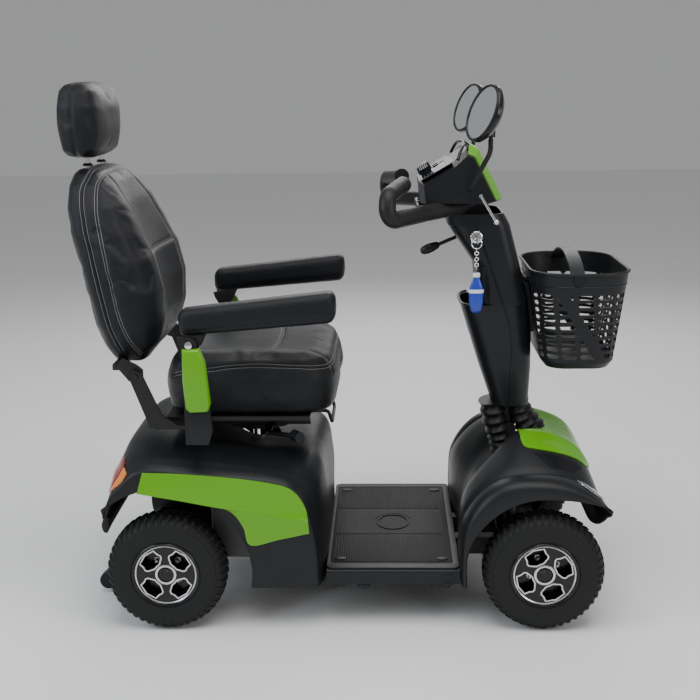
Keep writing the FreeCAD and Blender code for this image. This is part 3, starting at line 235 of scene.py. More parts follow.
# %% Finish maker
def finish(name, colour, gloss, grain=None, grain_scale=900.0, depth=0.0, dust=0.1, dust_colour=(0.16, 0.155, 0.145),
           spread=0.12, dust_scale=9.0, metal=0.0, coat=0.0, coat_gloss=0.1, sheen=0.0, glow=None, clear=0.0,
           specular=0.5):
    """A material: dusty base colour and gloss, a grain group as bump, and a plain shader's own values."""
    material = bpy.data.materials.new(name)
    material.use_nodes = True
    tree = material.node_tree
    link = tree.links.new
    shader = tree.nodes["Principled BSDF"]
    place = tree.nodes.new("ShaderNodeTexCoord").outputs["Object"]
    film = add(tree, "ShaderNodeGroup", node_tree=HANDLING)
    film.inputs["Colour"].default_value = (*colour, 1)
    film.inputs["Dust"].default_value = (*dust_colour, 1)
    for label, value in (("Amount", dust), ("Gloss", gloss), ("Spread", spread), ("Scale", dust_scale)):
        film.inputs[label].default_value = value
    link(place, film.inputs["Vector"])
    link(film.outputs["Colour"], shader.inputs["Base Color"])
    link(film.outputs["Roughness"], shader.inputs["Roughness"])
    if grain:
        texture = add(tree, "ShaderNodeGroup", node_tree=grain)
        texture.inputs["Scale"].default_value = grain_scale
        bump = add(tree, "ShaderNodeBump", Strength=1.0, Distance=depth)
        link(place, texture.inputs["Vector"])
        link(texture.outputs["Height"], bump.inputs["Height"])
        link(bump.outputs["Normal"], shader.inputs["Normal"])
    shader.inputs["Metallic"].default_value = metal
    shader.inputs["Coat Weight"].default_value = coat
    shader.inputs["Coat Roughness"].default_value = coat_gloss
    shader.inputs["Sheen Weight"].default_value = sheen
    shader.inputs["Transmission Weight"].default_value = clear
    shader.inputs["Specular IOR Level"].default_value = specular
    if glow:
        shader.inputs["Emission Color"].default_value = (*glow, 1)
        shader.inputs["Emission Strength"].default_value = 0.12
    return material


FINISHES = {
    "moulded": finish("moulded_black", (0.011, 0.012, 0.014), 0.34, GRAIN, 1100, 0.00010, dust=0.02, specular=0.26),
    "satin": finish("satin_black", (0.009, 0.010, 0.013), 0.30, GRAIN, 1500, 0.00005, dust=0.02, specular=0.28),
    "gloss_black": finish("gloss_black", (0.006, 0.006, 0.007), 0.18, GRAIN, 300, 0.00001, dust=0.02, coat=0.2,
                          specular=0.3),
    "green": finish("lime_green", (0.115, 0.375, 0.003), 0.26, GRAIN, 240, 0.000012, dust=0.02,
                    dust_colour=(0.3, 0.5, 0.12), coat=0.25, coat_gloss=0.08, specular=0.3),
    "steel": finish("coated_steel", (0.012, 0.012, 0.013), 0.34, GRAIN, 420, 0.00006, dust=0.05, specular=0.3),
    "cast": finish("cast_housing", (0.035, 0.036, 0.038), 0.48, GRAIN, 520, 0.00022, dust=0.22, metal=0.6),
    "battery": finish("battery_case", (0.07, 0.07, 0.075), 0.42, GRAIN, 700, 0.00010, dust=0.2),
    "tyre": finish("tyre_rubber", (0.011, 0.0115, 0.012), 0.55, GRAIN, 520, 0.00012, dust=0.12,
                   dust_colour=(0.04, 0.039, 0.037), spread=0.2, dust_scale=14, specular=0.25),
    "rubber": finish("mat_rubber", (0.013, 0.013, 0.0135), 0.52, GRAIN, 800, 0.00010, dust=0.05, specular=0.25),
    "boot": finish("boot_rubber", (0.010, 0.010, 0.011), 0.40, GRAIN, 900, 0.00008, dust=0.03, specular=0.3),
    "foam": finish("foam_grip", (0.010, 0.010, 0.011), 0.42, GRAIN, 1300, 0.00008, dust=0.02, sheen=0.02, specular=0.3),
    "leather": finish("leatherette", (0.0065, 0.0072, 0.0095), 0.31, HIDE, 520, 0.00022, dust=0.02,
                      dust_colour=(0.05, 0.05, 0.055), spread=0.1, specular=0.27),
    "thread": finish("pale_thread", (0.40, 0.40, 0.39), 0.65, GRAIN, 2600, 0.0001, dust=0.15),
    "silver": finish("machined_silver", (0.72, 0.72, 0.73), 0.24, GRAIN, 700, 0.00001, dust=0.1,
                     dust_colour=(0.4, 0.4, 0.4), metal=0.95),
    "chrome": finish("chrome", (0.80, 0.80, 0.82), 0.07, GRAIN, 200, 0.000004, dust=0.06, spread=0.1, metal=1.0),
    "zinc": finish("zinc_plate", (0.46, 0.46, 0.45), 0.32, GRAIN, 600, 0.00003, dust=0.2, metal=0.9),
    "red_lens": finish("red_lens", (0.42, 0.012, 0.010), 0.12, GRAIN, 160, 0.00003, dust=0.03, coat=0.8, clear=0.25),
    "amber_lens": finish("amber_lens", (0.85, 0.25, 0.012), 0.12, GRAIN, 160, 0.00003, dust=0.03, coat=0.8,
                         glow=(0.9, 0.3, 0.02), clear=0.2),
    "clear_lens": finish("clear_lens", (0.93, 0.94, 0.96), 0.05, GRAIN, 120, 0.00001, dust=0.02, clear=0.95),
    "mirror": finish("mirror_glass", (0.86, 0.88, 0.90), 0.03, GRAIN, 60, 0.000002, dust=0.05, metal=1.0),
    "white": finish("white_plastic", (0.78, 0.79, 0.80), 0.3, GRAIN, 500, 0.00003, dust=0.1,
                    dust_colour=(0.5, 0.5, 0.48)),
    "blue": finish("blue_plastic", (0.012, 0.045, 0.42), 0.28, GRAIN, 500, 0.00003, dust=0.08, coat=0.3),
    "red": finish("red_handle", (0.36, 0.014, 0.012), 0.3, GRAIN, 500, 0.00004, dust=0.12),
    "floor": finish("studio_paper", (0.86, 0.86, 0.86), 0.8, GRAIN, 40, 0.0001, dust=0.04,
                    dust_colour=(0.7, 0.7, 0.7)),
}
floor_mesh.materials.append(FINISHES["floor"])
print(len(FINISHES), "finishes")

# %% [markdown]
# ## Shapes
# A few small tools build everything below. All of them take millimetres, as the scooter's drawings do, and write
# the mesh in metres where it belongs, so that every object stays at the origin. A curve through a handful of chosen
# points gives smooth outlines; a loft joins closed rings; a lathe turns a profile; a plate fills flat loops with
# holes; a sweep draws a tube along a path.
# %% Mesh tools
def spline(points, count):
    """Points evenly spaced by index along a smooth curve that passes through the given ones."""
    points = [Vector(p) for p in points]
    padded = [2 * points[0] - points[1], *points, 2 * points[-1] - points[-2]]
    result = []
    for k in range(count):
        t = k / (count - 1) * (len(points) - 1)
        i = min(int(t), len(points) - 2)
        u = t - i
        a, b, c, d = padded[i:i + 4]
        result.append(0.5 * (2 * b + (c - a) * u + (2 * a - 5 * b + 4 * c - d) * u * u
                             + (3 * b - a - 3 * c + d) * u ** 3))
    return result


def settle(piece, finish_name, body, replaces=()):
    """Gives a finished piece its material, its body and the frame parts it stands for."""
    piece.data.materials.clear()
    piece.data.materials.append(FINISHES[finish_name])
    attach(piece, body)
    if replaces:
        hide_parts(*replaces)
    return piece


def piece_from(name, mesh_data, sharp=40.0):
    """An object for a mesh, smooth except where faces meet at more than the sharp angle."""
    mesh_data.polygons.foreach_set("use_smooth", [True] * len(mesh_data.polygons))
    mesh_data.set_sharp_from_angle(angle=math.radians(sharp))
    mesh_data.update()
    made = bpy.data.objects.new(name, mesh_data)
    bpy.context.scene.collection.objects.link(made)
    return made


def mesh_of(name, points, faces, outward=True, merge=0.0):
    """A mesh in metres from millimetre points, with its faces turned outward."""
    data = bpy.data.meshes.new(name)
    data.from_pydata([Vector(p) * MM for p in points], [], faces)
    work = bmesh.new()
    work.from_mesh(data)
    if merge:
        bmesh.ops.remove_doubles(work, verts=work.verts, dist=merge * MM)
    if outward:
        bmesh.ops.recalc_face_normals(work, faces=work.faces)
    work.to_mesh(data)
    work.free()
    return data


def loft(name, rings, caps=True, closed=True, sharp=40.0):
    """A skin through rings of equal count; caps close its two ends."""
    count = len(rings[0])
    points = [p for ring in rings for p in ring]
    faces = []
    for k in range(len(rings) - 1):
        for i in range(count if closed else count - 1):
            j = (i + 1) % count
            faces.append((k * count + i, k * count + j, (k + 1) * count + j, (k + 1) * count + i))
    if caps:
        faces.append(tuple(range(count)))
        faces.append(tuple(range((len(rings) - 1) * count, len(rings) * count)))
    return piece_from(name, mesh_of(name, points, faces), sharp)


def round_ring(centre, half_a, half_b, along_a, along_b, power=4.0, count=40):
    """A closed ring between an ellipse (power 2) and a rectangle (high power) in the plane of two directions."""
    centre, along_a, along_b = Vector(centre), Vector(along_a), Vector(along_b)
    ring = []
    for k in range(count):
        t = 2 * math.pi * k / count
        c, s = math.cos(t), math.sin(t)
        a = math.copysign(abs(c) ** (2 / power), c) * half_a
        b = math.copysign(abs(s) ** (2 / power), s) * half_b
        ring.append(centre + along_a * a + along_b * b)
    return ring


def lathe(name, profile, centre, axis=(0, 1, 0), count=64, sharp=40.0):
    """Turns (radius, along) points round an axis through the centre; a closed profile gives a ring."""
    axis, centre = Vector(axis).normalized(), Vector(centre)
    side = axis.orthogonal().normalized()
    other = axis.cross(side)
    points, faces = [], []
    for k in range(count):
        t = 2 * math.pi * k / count
        out = side * math.cos(t) + other * math.sin(t)
        points += [centre + out * r + axis * a for r, a in profile]
    n = len(profile)
    for k in range(count):
        nxt = (k + 1) % count
        for i in range(n):
            j = (i + 1) % n
            faces.append((k * n + i, nxt * n + i, nxt * n + j, k * n + j))
    return piece_from(name, mesh_of(name, points, faces, merge=0.002), sharp)


def converted(host, name):
    """The plain mesh that an object's modifiers or curve settings give, in a new object at the origin."""
    bpy.context.view_layer.update()
    view = bpy.context.evaluated_depsgraph_get()
    data = bpy.data.meshes.new_from_object(host.evaluated_get(view), depsgraph=view)
    data.transform(host.matrix_world)
    data.name = name
    bpy.data.objects.remove(host)
    return data


def level_ring(centre, half_a, half_b, power=4.0, count=40):
    """A round_ring lying flat."""
    return round_ring(centre, half_a, half_b, (1, 0, 0), (0, 1, 0), power, count)


def mirrored(half):
    """A path from the scooter's right to its middle, carried on to the left as its mirror."""
    return half + [(x, -y, z) for x, y, z in reversed(half[:-1])]


def side_on(y, outward=1):
    """Stands a flat plate upright, along the scooter, at that y."""
    return Matrix(((1, 0, 0, 0), (0, 0, outward, y * MM), (0, 1, 0, 0), (0, 0, 0, 1)))


def plate(name, loops, thick, place=Matrix.Identity(4), sharp=40.0, bevel=0.0):
    """A flat plate: the outer loop filled, the loops inside it left open. place maps its plane into the scooter."""
    curve = bpy.data.curves.new(name, "CURVE")
    curve.dimensions, curve.fill_mode = "2D", "BOTH"
    curve.extrude, curve.bevel_depth = thick / 2 * MM, bevel * MM
    for loop in loops:
        line = curve.splines.new("POLY")
        line.points.add(len(loop) - 1)
        for point, (x, y) in zip(line.points, loop):
            point.co = (x * MM, y * MM, 0, 1)
        line.use_cyclic_u = True
    host = bpy.data.objects.new(name, curve)
    bpy.context.scene.collection.objects.link(host)
    data = converted(host, name)
    data.transform(place)
    return piece_from(name, tidy_mesh(data), sharp)


def tidy_mesh(data):
    """Merges doubled points and turns faces outward."""
    work = bmesh.new()
    work.from_mesh(data)
    bmesh.ops.remove_doubles(work, verts=work.verts, dist=0.00001)
    bmesh.ops.recalc_face_normals(work, faces=work.faces)
    work.to_mesh(data)
    work.free()
    return data


def sweep(name, path, radius, sides=12, smooth=True, closed=False):
    """A round tube along a path in millimetres; radius may be one value or one for each point."""
    curve = bpy.data.curves.new(name, "CURVE")
    curve.dimensions, curve.bevel_depth, curve.bevel_resolution = "3D", MM, max(1, sides // 4 - 1)
    curve.use_fill_caps, curve.resolution_u = not closed, 6
    line = curve.splines.new("NURBS" if smooth else "POLY")
    line.points.add(len(path) - 1)
    radii = radius if isinstance(radius, (list, tuple)) else [radius] * len(path)
    for point, place, r in zip(line.points, path, radii):
        point.co = (*(Vector(place) * MM), 1)
        point.radius = r
    if smooth:
        line.order_u = 3
        line.use_endpoint_u = not closed
    line.use_cyclic_u = closed
    host = bpy.data.objects.new(name, curve)
    bpy.context.scene.collection.objects.link(host)
    return piece_from(name, tidy_mesh(converted(host, name)))


def joined(name, pieces, sharp=40.0):
    """Several pieces of one finish and one body as one mesh."""
    work = bmesh.new()
    for one in pieces:
        view = bpy.context.evaluated_depsgraph_get()
        data = bpy.data.meshes.new_from_object(one.evaluated_get(view), depsgraph=view)
        work.from_mesh(data)
        bpy.data.objects.remove(one)
    whole = bpy.data.meshes.new(name)
    work.to_mesh(whole)
    work.free()
    return piece_from(name, whole, sharp)


def mirrored_copy(piece, name):
    """The same piece on the scooter's other side."""
    data = piece.data.copy()
    data.transform(Matrix.Scale(-1, 4, (0, 1, 0)))
    return piece_from(name, tidy_mesh(data))


def finish_edges(piece, thickness=0.0, bevel=0.0, smooth=0, offset=-1.0):
    """Wall thickness, rounded edges and smoothing, applied so that the piece is a plain mesh again."""
    if thickness:
        wall = piece.modifiers.new("wall", "SOLIDIFY")
        wall.thickness, wall.offset = thickness * MM, offset
    if bevel:
        edge = piece.modifiers.new("edge", "BEVEL")
        edge.width, edge.segments, edge.limit_method = bevel * MM, 2, "ANGLE"
        edge.angle_limit = math.radians(35)
    if smooth:
        soft = piece.modifiers.new("soft", "SUBSURF")
        soft.levels = soft.render_levels = smooth
    name = piece.name
    piece.name = name + "_work"
    return piece_from(name, converted(piece, name))


def carve(piece, *tools):
    """Cuts the tools out of a piece and removes them."""
    for tool in tools:
        knife = piece.modifiers.new("cut", "BOOLEAN")
        knife.object, knife.operation, knife.solver = tool, "DIFFERENCE", "EXACT"
    name = piece.name
    piece.name = name + "_work"
    result = piece_from(name, converted(piece, name), 32)
    for tool in tools:
        bpy.data.objects.remove(tool)
    return result


def slab(name, low, high, bevel=0.0):
    """A plain block between two corners."""
    x0, y0, z0 = low
    x1, y1, z1 = high
    rings = [[Vector(p) for p in ((x0, y0, z), (x1, y0, z), (x1, y1, z), (x0, y1, z))] for z in (z0, z1)]
    piece = loft(name, rings, sharp=30)
    return finish_edges(piece, bevel=bevel) if bevel else piece


def rectangle(x0, y0, x1, y1, radius, steps=6):
    """A flat loop with round corners."""
    loop = []
    for cx, cy, start in ((x1 - radius, y1 - radius, 0), (x0 + radius, y1 - radius, 90),
                          (x0 + radius, y0 + radius, 180), (x1 - radius, y0 + radius, 270)):
        for k in range(steps + 1):
            a = math.radians(start + 90 * k / steps)
            loop.append((cx + radius * math.cos(a), cy + radius * math.sin(a)))
    return loop


print("mesh tools ready")

# %% [markdown]
# ## Repeats
# Tread blocks, wheel nuts, mat ribs and stitches all repeat. Copying meshes in a loop would do, but Geometry Nodes
# say the rule itself: so many copies, this far apart or this much turn between them, or one at every so many
# millimetres of a path. Each tree has named inputs, realises its copies and sets their material, and the result is
# kept as a plain mesh.
# %% Geometry Nodes helpers
def node_tree(name, inputs):
    """A Geometry Nodes tree with a geometry input, named inputs and a geometry output."""
    tree = bpy.data.node_groups.new(name, "GeometryNodeTree")
    tree.interface.new_socket("Geometry", in_out="INPUT", socket_type="NodeSocketGeometry")
    for label, kind in inputs:
        tree.interface.new_socket(label, in_out="INPUT", socket_type=kind)
    tree.interface.new_socket("Geometry", in_out="OUTPUT", socket_type="NodeSocketGeometry")
    return tree, tree.nodes.new("NodeGroupInput"), tree.nodes.new("NodeGroupOutput")


def finish_tree(tree, given, out, copies):
    """Ends a tree: copies made real, then given their material."""
    real = tree.nodes.new("GeometryNodeRealizeInstances")
    paint = tree.nodes.new("GeometryNodeSetMaterial")
    tree.links.new(copies, real.inputs[0])
    tree.links.new(real.outputs[0], paint.inputs["Geometry"])
    tree.links.new(given.outputs["Material"], paint.inputs["Material"])
    tree.links.new(paint.outputs[0], out.inputs[0])
    return tree


def build_ring_tree():
    """Copies of the geometry, evenly turned round an axis through a centre."""
    tree, given, out = node_tree("ring_of_copies", [
        ("Count", "NodeSocketInt"), ("Centre", "NodeSocketVector"), ("Axis", "NodeSocketVector"),
        ("Turn", "NodeSocketFloat"), ("Material", "NodeSocketMaterial")])
    link = tree.links.new
    points = add(tree, "GeometryNodePoints")
    copies = tree.nodes.new("GeometryNodeInstanceOnPoints")
    index = tree.nodes.new("GeometryNodeInputIndex")
    angle = add(tree, "ShaderNodeMath", operation="MULTIPLY")
    turn = tree.nodes.new("FunctionNodeAxisAngleToRotation")
    rotate = tree.nodes.new("GeometryNodeRotateInstances")
    rotate.inputs["Local Space"].default_value = False
    link(given.outputs["Count"], points.inputs["Count"])
    link(points.outputs[0], copies.inputs["Points"])
    link(given.outputs["Geometry"], copies.inputs["Instance"])
    link(index.outputs[0], angle.inputs[0])
    link(given.outputs["Turn"], angle.inputs[1])
    link(given.outputs["Axis"], turn.inputs["Axis"])
    link(angle.outputs[0], turn.inputs["Angle"])
    link(copies.outputs[0], rotate.inputs["Instances"])
    link(turn.outputs[0], rotate.inputs["Rotation"])
    link(given.outputs["Centre"], rotate.inputs["Pivot Point"])
    return finish_tree(tree, given, out, rotate.outputs[0])


def build_grid_tree():
    """Copies of the geometry in rows and columns, each other row shifted by a share of a column."""
    tree, given, out = node_tree("rows_and_columns", [
        ("Columns", "NodeSocketInt"), ("Rows", "NodeSocketInt"), ("Column step", "NodeSocketVector"),
        ("Row step", "NodeSocketVector"), ("Shift", "NodeSocketFloat"), ("Material", "NodeSocketMaterial")])
    link = tree.links.new

    def maths(operation, a, b):
        node = add(tree, "ShaderNodeMath", operation=operation)
        for socket, value in zip(node.inputs, (a, b)):
            if isinstance(value, float):
                socket.default_value = value
            else:
                link(value, socket)
        return node.outputs[0]

    points = add(tree, "GeometryNodePoints")
    index = tree.nodes.new("GeometryNodeInputIndex").outputs[0]
    total = maths("MULTIPLY", given.outputs["Columns"], given.outputs["Rows"])
    column = maths("MODULO", index, given.outputs["Columns"])
    row = maths("FLOOR", maths("DIVIDE", maths("ADD", index, 0.01), given.outputs["Columns"]), 0.0)
    odd = maths("MULTIPLY", maths("MODULO", row, 2.0), given.outputs["Shift"])
    place = []
    for count, step in ((maths("ADD", column, odd), "Column step"), (row, "Row step")):
        scale = add(tree, "ShaderNodeVectorMath", operation="SCALE")
        link(given.outputs[step], scale.inputs[0])
        link(count, scale.inputs["Scale"])
        place.append(scale.outputs[0])
    whole = add(tree, "ShaderNodeVectorMath", operation="ADD")
    copies = tree.nodes.new("GeometryNodeInstanceOnPoints")
    link(total, points.inputs["Count"])
    link(place[0], whole.inputs[0])
    link(place[1], whole.inputs[1])
    link(whole.outputs[0], points.inputs["Position"])
    link(points.outputs[0], copies.inputs["Points"])
    link(given.outputs["Geometry"], copies.inputs["Instance"])
    return finish_tree(tree, given, out, copies.outputs[0])


def build_stitch_tree():
    """Short rods set end to end along the edges of the geometry, as thread shows between needle holes."""
    tree, given, out = node_tree("stitches_along_path", [
        ("Pitch", "NodeSocketFloat"), ("Length", "NodeSocketFloat"), ("Thickness", "NodeSocketFloat"),
        ("Material", "NodeSocketMaterial")])
    link = tree.links.new
    path = tree.nodes.new("GeometryNodeMeshToCurve")
    points = add(tree, "GeometryNodeCurveToPoints", mode="LENGTH")
    thread = add(tree, "GeometryNodeMeshCylinder", Vertices=5)
    copies = tree.nodes.new("GeometryNodeInstanceOnPoints")
    link(given.outputs["Geometry"], path.inputs[0])
    link(path.outputs[0], points.inputs["Curve"])
    link(given.outputs["Pitch"], points.inputs["Length"])
    link(given.outputs["Thickness"], thread.inputs["Radius"])
    link(given.outputs["Length"], thread.inputs["Depth"])
    link(points.outputs["Points"], copies.inputs["Points"])
    link(thread.outputs["Mesh"], copies.inputs["Instance"])
    link(points.outputs["Rotation"], copies.inputs["Rotation"])
    return finish_tree(tree, given, out, copies.outputs[0])


RING_TREE, GRID_TREE, STITCH_TREE = build_ring_tree(), build_grid_tree(), build_stitch_tree()


def grown(host, tree, name, finish_name, **values):
    """Runs a tree on a host object with the given inputs and keeps the result as a plain piece."""
    nodes = host.modifiers.new("repeat", "NODES")
    nodes.node_group = tree
    values["Material"] = FINISHES[finish_name]
    for item in tree.interface.items_tree:
        label = item.name.replace(" ", "_")
        if item.item_type == "SOCKET" and item.in_out == "INPUT" and label in values:
            nodes[item.identifier] = values[label]
    data = converted(host, name)
    return piece_from(name, data, 45)


def ring_of(host, name, finish_name, count, centre, axis=(0, 1, 0)):
    """count copies of host, all the way round an axis."""
    return grown(host, RING_TREE, name, finish_name, Count=count, Centre=[c * MM for c in centre],
                 Axis=list(axis), Turn=2 * math.pi / count)


def rows_of(host, name, finish_name, columns, rows, column_step, row_step, shift=0.0):
    """Copies of host in rows and columns; steps in millimetres."""
    return grown(host, GRID_TREE, name, finish_name, Columns=columns, Rows=rows, Shift=shift,
                 Column_step=[c * MM for c in column_step], Row_step=[c * MM for c in row_step])


def stitched(name, paths, pitch=6.0, length=4.3, thick=0.55, finish_name="thread"):
    """Stitches along one or more paths, given as lists of millimetre points."""
    points, edges = [], []
    for path in paths:
        edges += [(len(points) + k, len(points) + k + 1) for k in range(len(path) - 1)]
        points += [Vector(p) * MM for p in path]
    data = bpy.data.meshes.new(name + "_path")
    data.from_pydata(points, edges, [])
    host = bpy.data.objects.new(name + "_path", data)
    bpy.context.scene.collection.objects.link(host)
    return grown(host, STITCH_TREE, name, finish_name, Pitch=pitch * MM, Length=length * MM, Thickness=thick * MM)


print("repeat trees ready")

# %% [markdown]
# ## Wheels
# Each wheel is a rubber tyre on a two-part rim. The tyre is one turned profile with a band of raised tread blocks;
# the blocks are a small slanted pair, repeated round the axle. The rim's face is a cast cross of four spokes: its
# raised lines are machined bright and everything between them stays black, so the bright part is a set of thin
# ribbons and the black part lies just under them.
# %% Wheel sizes from the frame
TYRE_LOW, TYRE_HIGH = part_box("rear_tyre_left")
RIM_LOW, RIM_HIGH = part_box("rear_rim_left")
WHEEL_R = (TYRE_HIGH.z - TYRE_LOW.z) / 2 / MM
TYRE_HALF = (TYRE_HIGH.y - TYRE_LOW.y) / 2 / MM
RIM_R = (RIM_HIGH.z - RIM_LOW.z) / 2 / MM
TREAD = 3.2
TREAD_PITCHES = 46
WHEELS = [(f"{end}_wheel_{side}", f"{end}_tyre_{side}", f"{end}_rim_{side}", turn)
          for end, turn in (("rear", 0.0), ("front", 0.36)) for side in ("left", "right")]
print("wheel radius", WHEEL_R, "tyre half width", TYRE_HALF, "rim radius", RIM_R)


def tyre_profile():
    """Half the tyre's section from crown to bead, as radius and distance from its middle, then its mirror."""
    base = WHEEL_R - TREAD
    half = [(base, 0), (base - 0.6, 14), (base - 3.2, 26), (base - 8, 33.5), (base - 14.5, 38.2),
            (base - 17, 38.6), (base - 18, 40.6), (base - 30, 42.2), (RIM_R + 20, 42.0), (RIM_R + 11, 40.3),
            (RIM_R + 9.5, 40.6), (RIM_R + 6, 39.2), (RIM_R + 4.5, 38.2), (RIM_R + 1.5, 37.4), (RIM_R + 0.4, 35),
            (RIM_R + 0.4, 30)]
    return half + [(r, -a) for r, a in reversed(half[1:])]


def tread_block(outline, centre, side):
    """One block on the tread: outline points are (round the wheel, across it), raised off the casing."""
    def on_wheel(around, across, lift):
        drop = 0.0016 * across ** 2 + 0.0000045 * across ** 4
        r = WHEEL_R - TREAD - drop + lift
        angle = around / WHEEL_R
        return (centre[0] + r * math.sin(angle), centre[1] + side * across, centre[2] + r * math.cos(angle))

    low = [on_wheel(a, c, -1.0) for a, c in outline]
    middle = (sum(a for a, c in outline) / len(outline), sum(c for a, c in outline) / len(outline))
    high = [on_wheel(a + (middle[0] - a) * 0.1, c + (middle[1] - c) * 0.1, TREAD - 0.1) for a, c in outline]
    n = len(outline)
    faces = [(k, (k + 1) % n, n + (k + 1) % n, n + k) for k in range(n)] + [tuple(range(n, 2 * n))]
    return piece_from("block", mesh_of("block", low + high, faces), 30)


def build_tyre(wheel, tyre, rim, turn):
    low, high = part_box(tyre)
    centre = (low + high) / 2 / MM
    casing = lathe(tyre + "_casing", tyre_profile(), centre, count=96, sharp=50)
    blocks = []
    half_pitch = math.pi * WHEEL_R / TREAD_PITCHES
    for side in (-1, 1):
        shift = 0 if side > 0 else half_pitch
        inner = [(shift - 5.5, 2.0), (shift + 2.0, 2.0), (shift + 7.5, 15.5), (shift + 0.0, 15.5)]
        outer = [(shift + 1.0, 18.0), (shift + 9.0, 18.0), (shift + 5.0, 31.0), (shift + 3.0, 37.5),
                 (shift - 3.5, 37.5), (shift - 2.0, 30.0)]
        blocks += [tread_block(inner, centre, side), tread_block(outer, centre, side)]
    host = joined("tread_host", blocks, 30)
    tread = ring_of(host, tyre + "_tread", "tyre", TREAD_PITCHES, centre)
    whole = joined(tyre + "_rubber", [casing, tread], 45)
    settle(whole, "tyre", wheel, [tyre])


for wheel_parts in WHEELS:
    build_tyre(*wheel_parts)
print("tyres", WHEEL_R, "mm radius,", TREAD_PITCHES, "tread pitches")


# %% Rims
SPOKES = 4
FACE_R = RIM_R - 4.0
LINE_W = 2.6
WINDOW = [(-19, 26), (-35, 39), (-34, 45), (-27, 50), (-22, 60.5), (0, 62.5), (22, 60.5), (27, 50), (34, 45), (35, 39),
          (19, 26), (0, 25)]
NUT_CIRCLE_R = 31.0


def polar(angle, radius):
    return Vector((radius * math.sin(angle), radius * math.cos(angle)))


def window_loop(index, inset=0.0):
    """The outline of one opening between spokes, on the rim's face, drawn in by an inset."""
    middle = math.radians(45 + 90 * index)
    centre = polar(middle, 45)
    loop = [polar(middle + math.radians(a), r) for a, r in WINDOW]
    return [p + (centre - p).normalized() * inset for p in loop]


def circle_loop(radius, count=72):
    return [polar(2 * math.pi * k / count, radius) for k in range(count)]


def face_place(centre, side, out, turn):
    """The matrix that stands a flat drawing on a wheel's outer face."""
    outward = Vector((0, side, 0))
    up = Vector((math.sin(turn), 0, math.cos(turn)))
    right = up.cross(outward)
    matrix = Matrix((right, up, outward)).transposed().to_4x4()
    matrix.translation = Vector((centre[0], centre[1] + side * out, centre[2])) * MM
    return matrix


def build_rim(wheel, tyre, rim, turn):
    low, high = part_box(tyre)
    centre = (low + high) / 2 / MM
    side = 1 if centre.y > 0 else -1
    dish = [(RIM_R + 0.2, 36.5), (RIM_R + 3.2, 39.4), (RIM_R + 2.0, 40.4), (RIM_R - 2, 39.2), (RIM_R - 5, 34.0),
            (RIM_R - 7, 20), (RIM_R - 12, 8), (24, 6), (14, 6), (14, -2), (24, -2), (RIM_R - 11, 0), (RIM_R - 4, 14),
            (RIM_R - 2.2, 30)]
    barrel = lathe(rim + "_barrel", [(r, side * a) for r, a in dish], centre, sharp=30)
    inner = lathe(rim + "_inner_barrel", [(r, side * a) for r, a in (
        (RIM_R + 0.2, -36.5), (RIM_R + 3.2, -39.4), (RIM_R - 1.5, -38.8), (RIM_R - 5, -30), (RIM_R - 8, 4),
        (RIM_R - 6, 4), (RIM_R - 2.2, -30))], centre, sharp=30)
    windows = [window_loop(k) for k in range(SPOKES)]
    spokes = plate(rim + "_spoke_plate", [circle_loop(FACE_R), circle_loop(17.5)] + windows, 5.0,
                   face_place(centre, side, 30.5, turn), bevel=0.3)
    black = joined(rim + "_black_casting", [barrel, inner, spokes], 30)
    settle(black, "gloss_black", wheel, [rim])
    lines = []
    for k in range(SPOKES):
        lines.append(plate("line", [window_loop(k, -0.2), window_loop(k, LINE_W)], 1.6,
                           face_place(centre, side, 34.0, turn), bevel=0.2))
    lines.append(lathe("ring", [(FACE_R + 0.8, side * 30), (FACE_R + 0.8, side * 36.2), (FACE_R - 0.2, side * 36.8),
                                (FACE_R - 2.6, side * 35.2), (FACE_R - 2.6, side * 30)], centre, count=96))
    lines.append(lathe("hub_ring", [(22.5, side * 30), (22.5, side * 34.6), (21, side * 35.4), (17.8, side * 35.2),
                                    (17.4, side * 30)], centre))
    bright = joined(rim + "_machined_lines", lines, 35)
    settle(bright, "silver", wheel)
    cap_profile = [(0.01, 34.6), (8, 34.4), (9, 33.2), (14.5, 33.0), (16.6, 32.0), (17.2, 28), (0.01, 28)]
    cap = lathe(rim + "_hub_cap", [(r, side * a) for r, a in cap_profile], centre, count=48)
    settle(cap, "gloss_black", wheel)
    nut_at = polar(math.radians(45) + turn, NUT_CIRCLE_R)
    nut_centre = (centre.x + nut_at.x, centre.y, centre.z + nut_at.y)
    nut = lathe("nut", [(0.01, side * 17.5), (3.6, side * 17.2), (4.6, side * 15.6), (4.8, side * 8), (7.6, side * 7.6),
                        (7.6, side * 5.5), (0.01, side * 5.5)], nut_centre, count=6, sharp=20)
    nuts = ring_of(nut, rim + "_wheel_nuts", "zinc", SPOKES, centre)
    settle(nuts, "zinc", wheel)


for wheel_parts in WHEELS:
    build_rim(*wheel_parts)
print("rims with", SPOKES, "spokes")

# %% [markdown]
# ## Body skins
# The front and rear bodies are thin moulded shells with soft, changing sections: a leg shield that turns into a hood,
# fenders that roll over the wheels. Each is drawn as a shipwright would, by outlines at a few stations across the
# scooter, with one smooth surface through them. The outermost outlines roll over the fender and end at its lip, so
# the wheel arch needs no cutting. A wall of even thickness is added last.
# %% Skin through stations
def skin_grid(stations, along, across):
    """Points on a smooth surface through half stations (y, [(x, z), ...]), mirrored to the whole width."""
    lines = [spline([(x, y, z) for x, z in outline], along) for y, outline in stations]
    half = []
    for i in range(along):
        half.append(spline([line[i] for line in lines], across))
    rows = []
    for points in half:
        far = [Vector((p.x, -p.y, p.z)) for p in reversed(points[1:])]
        rows.append(far + points)
    return rows


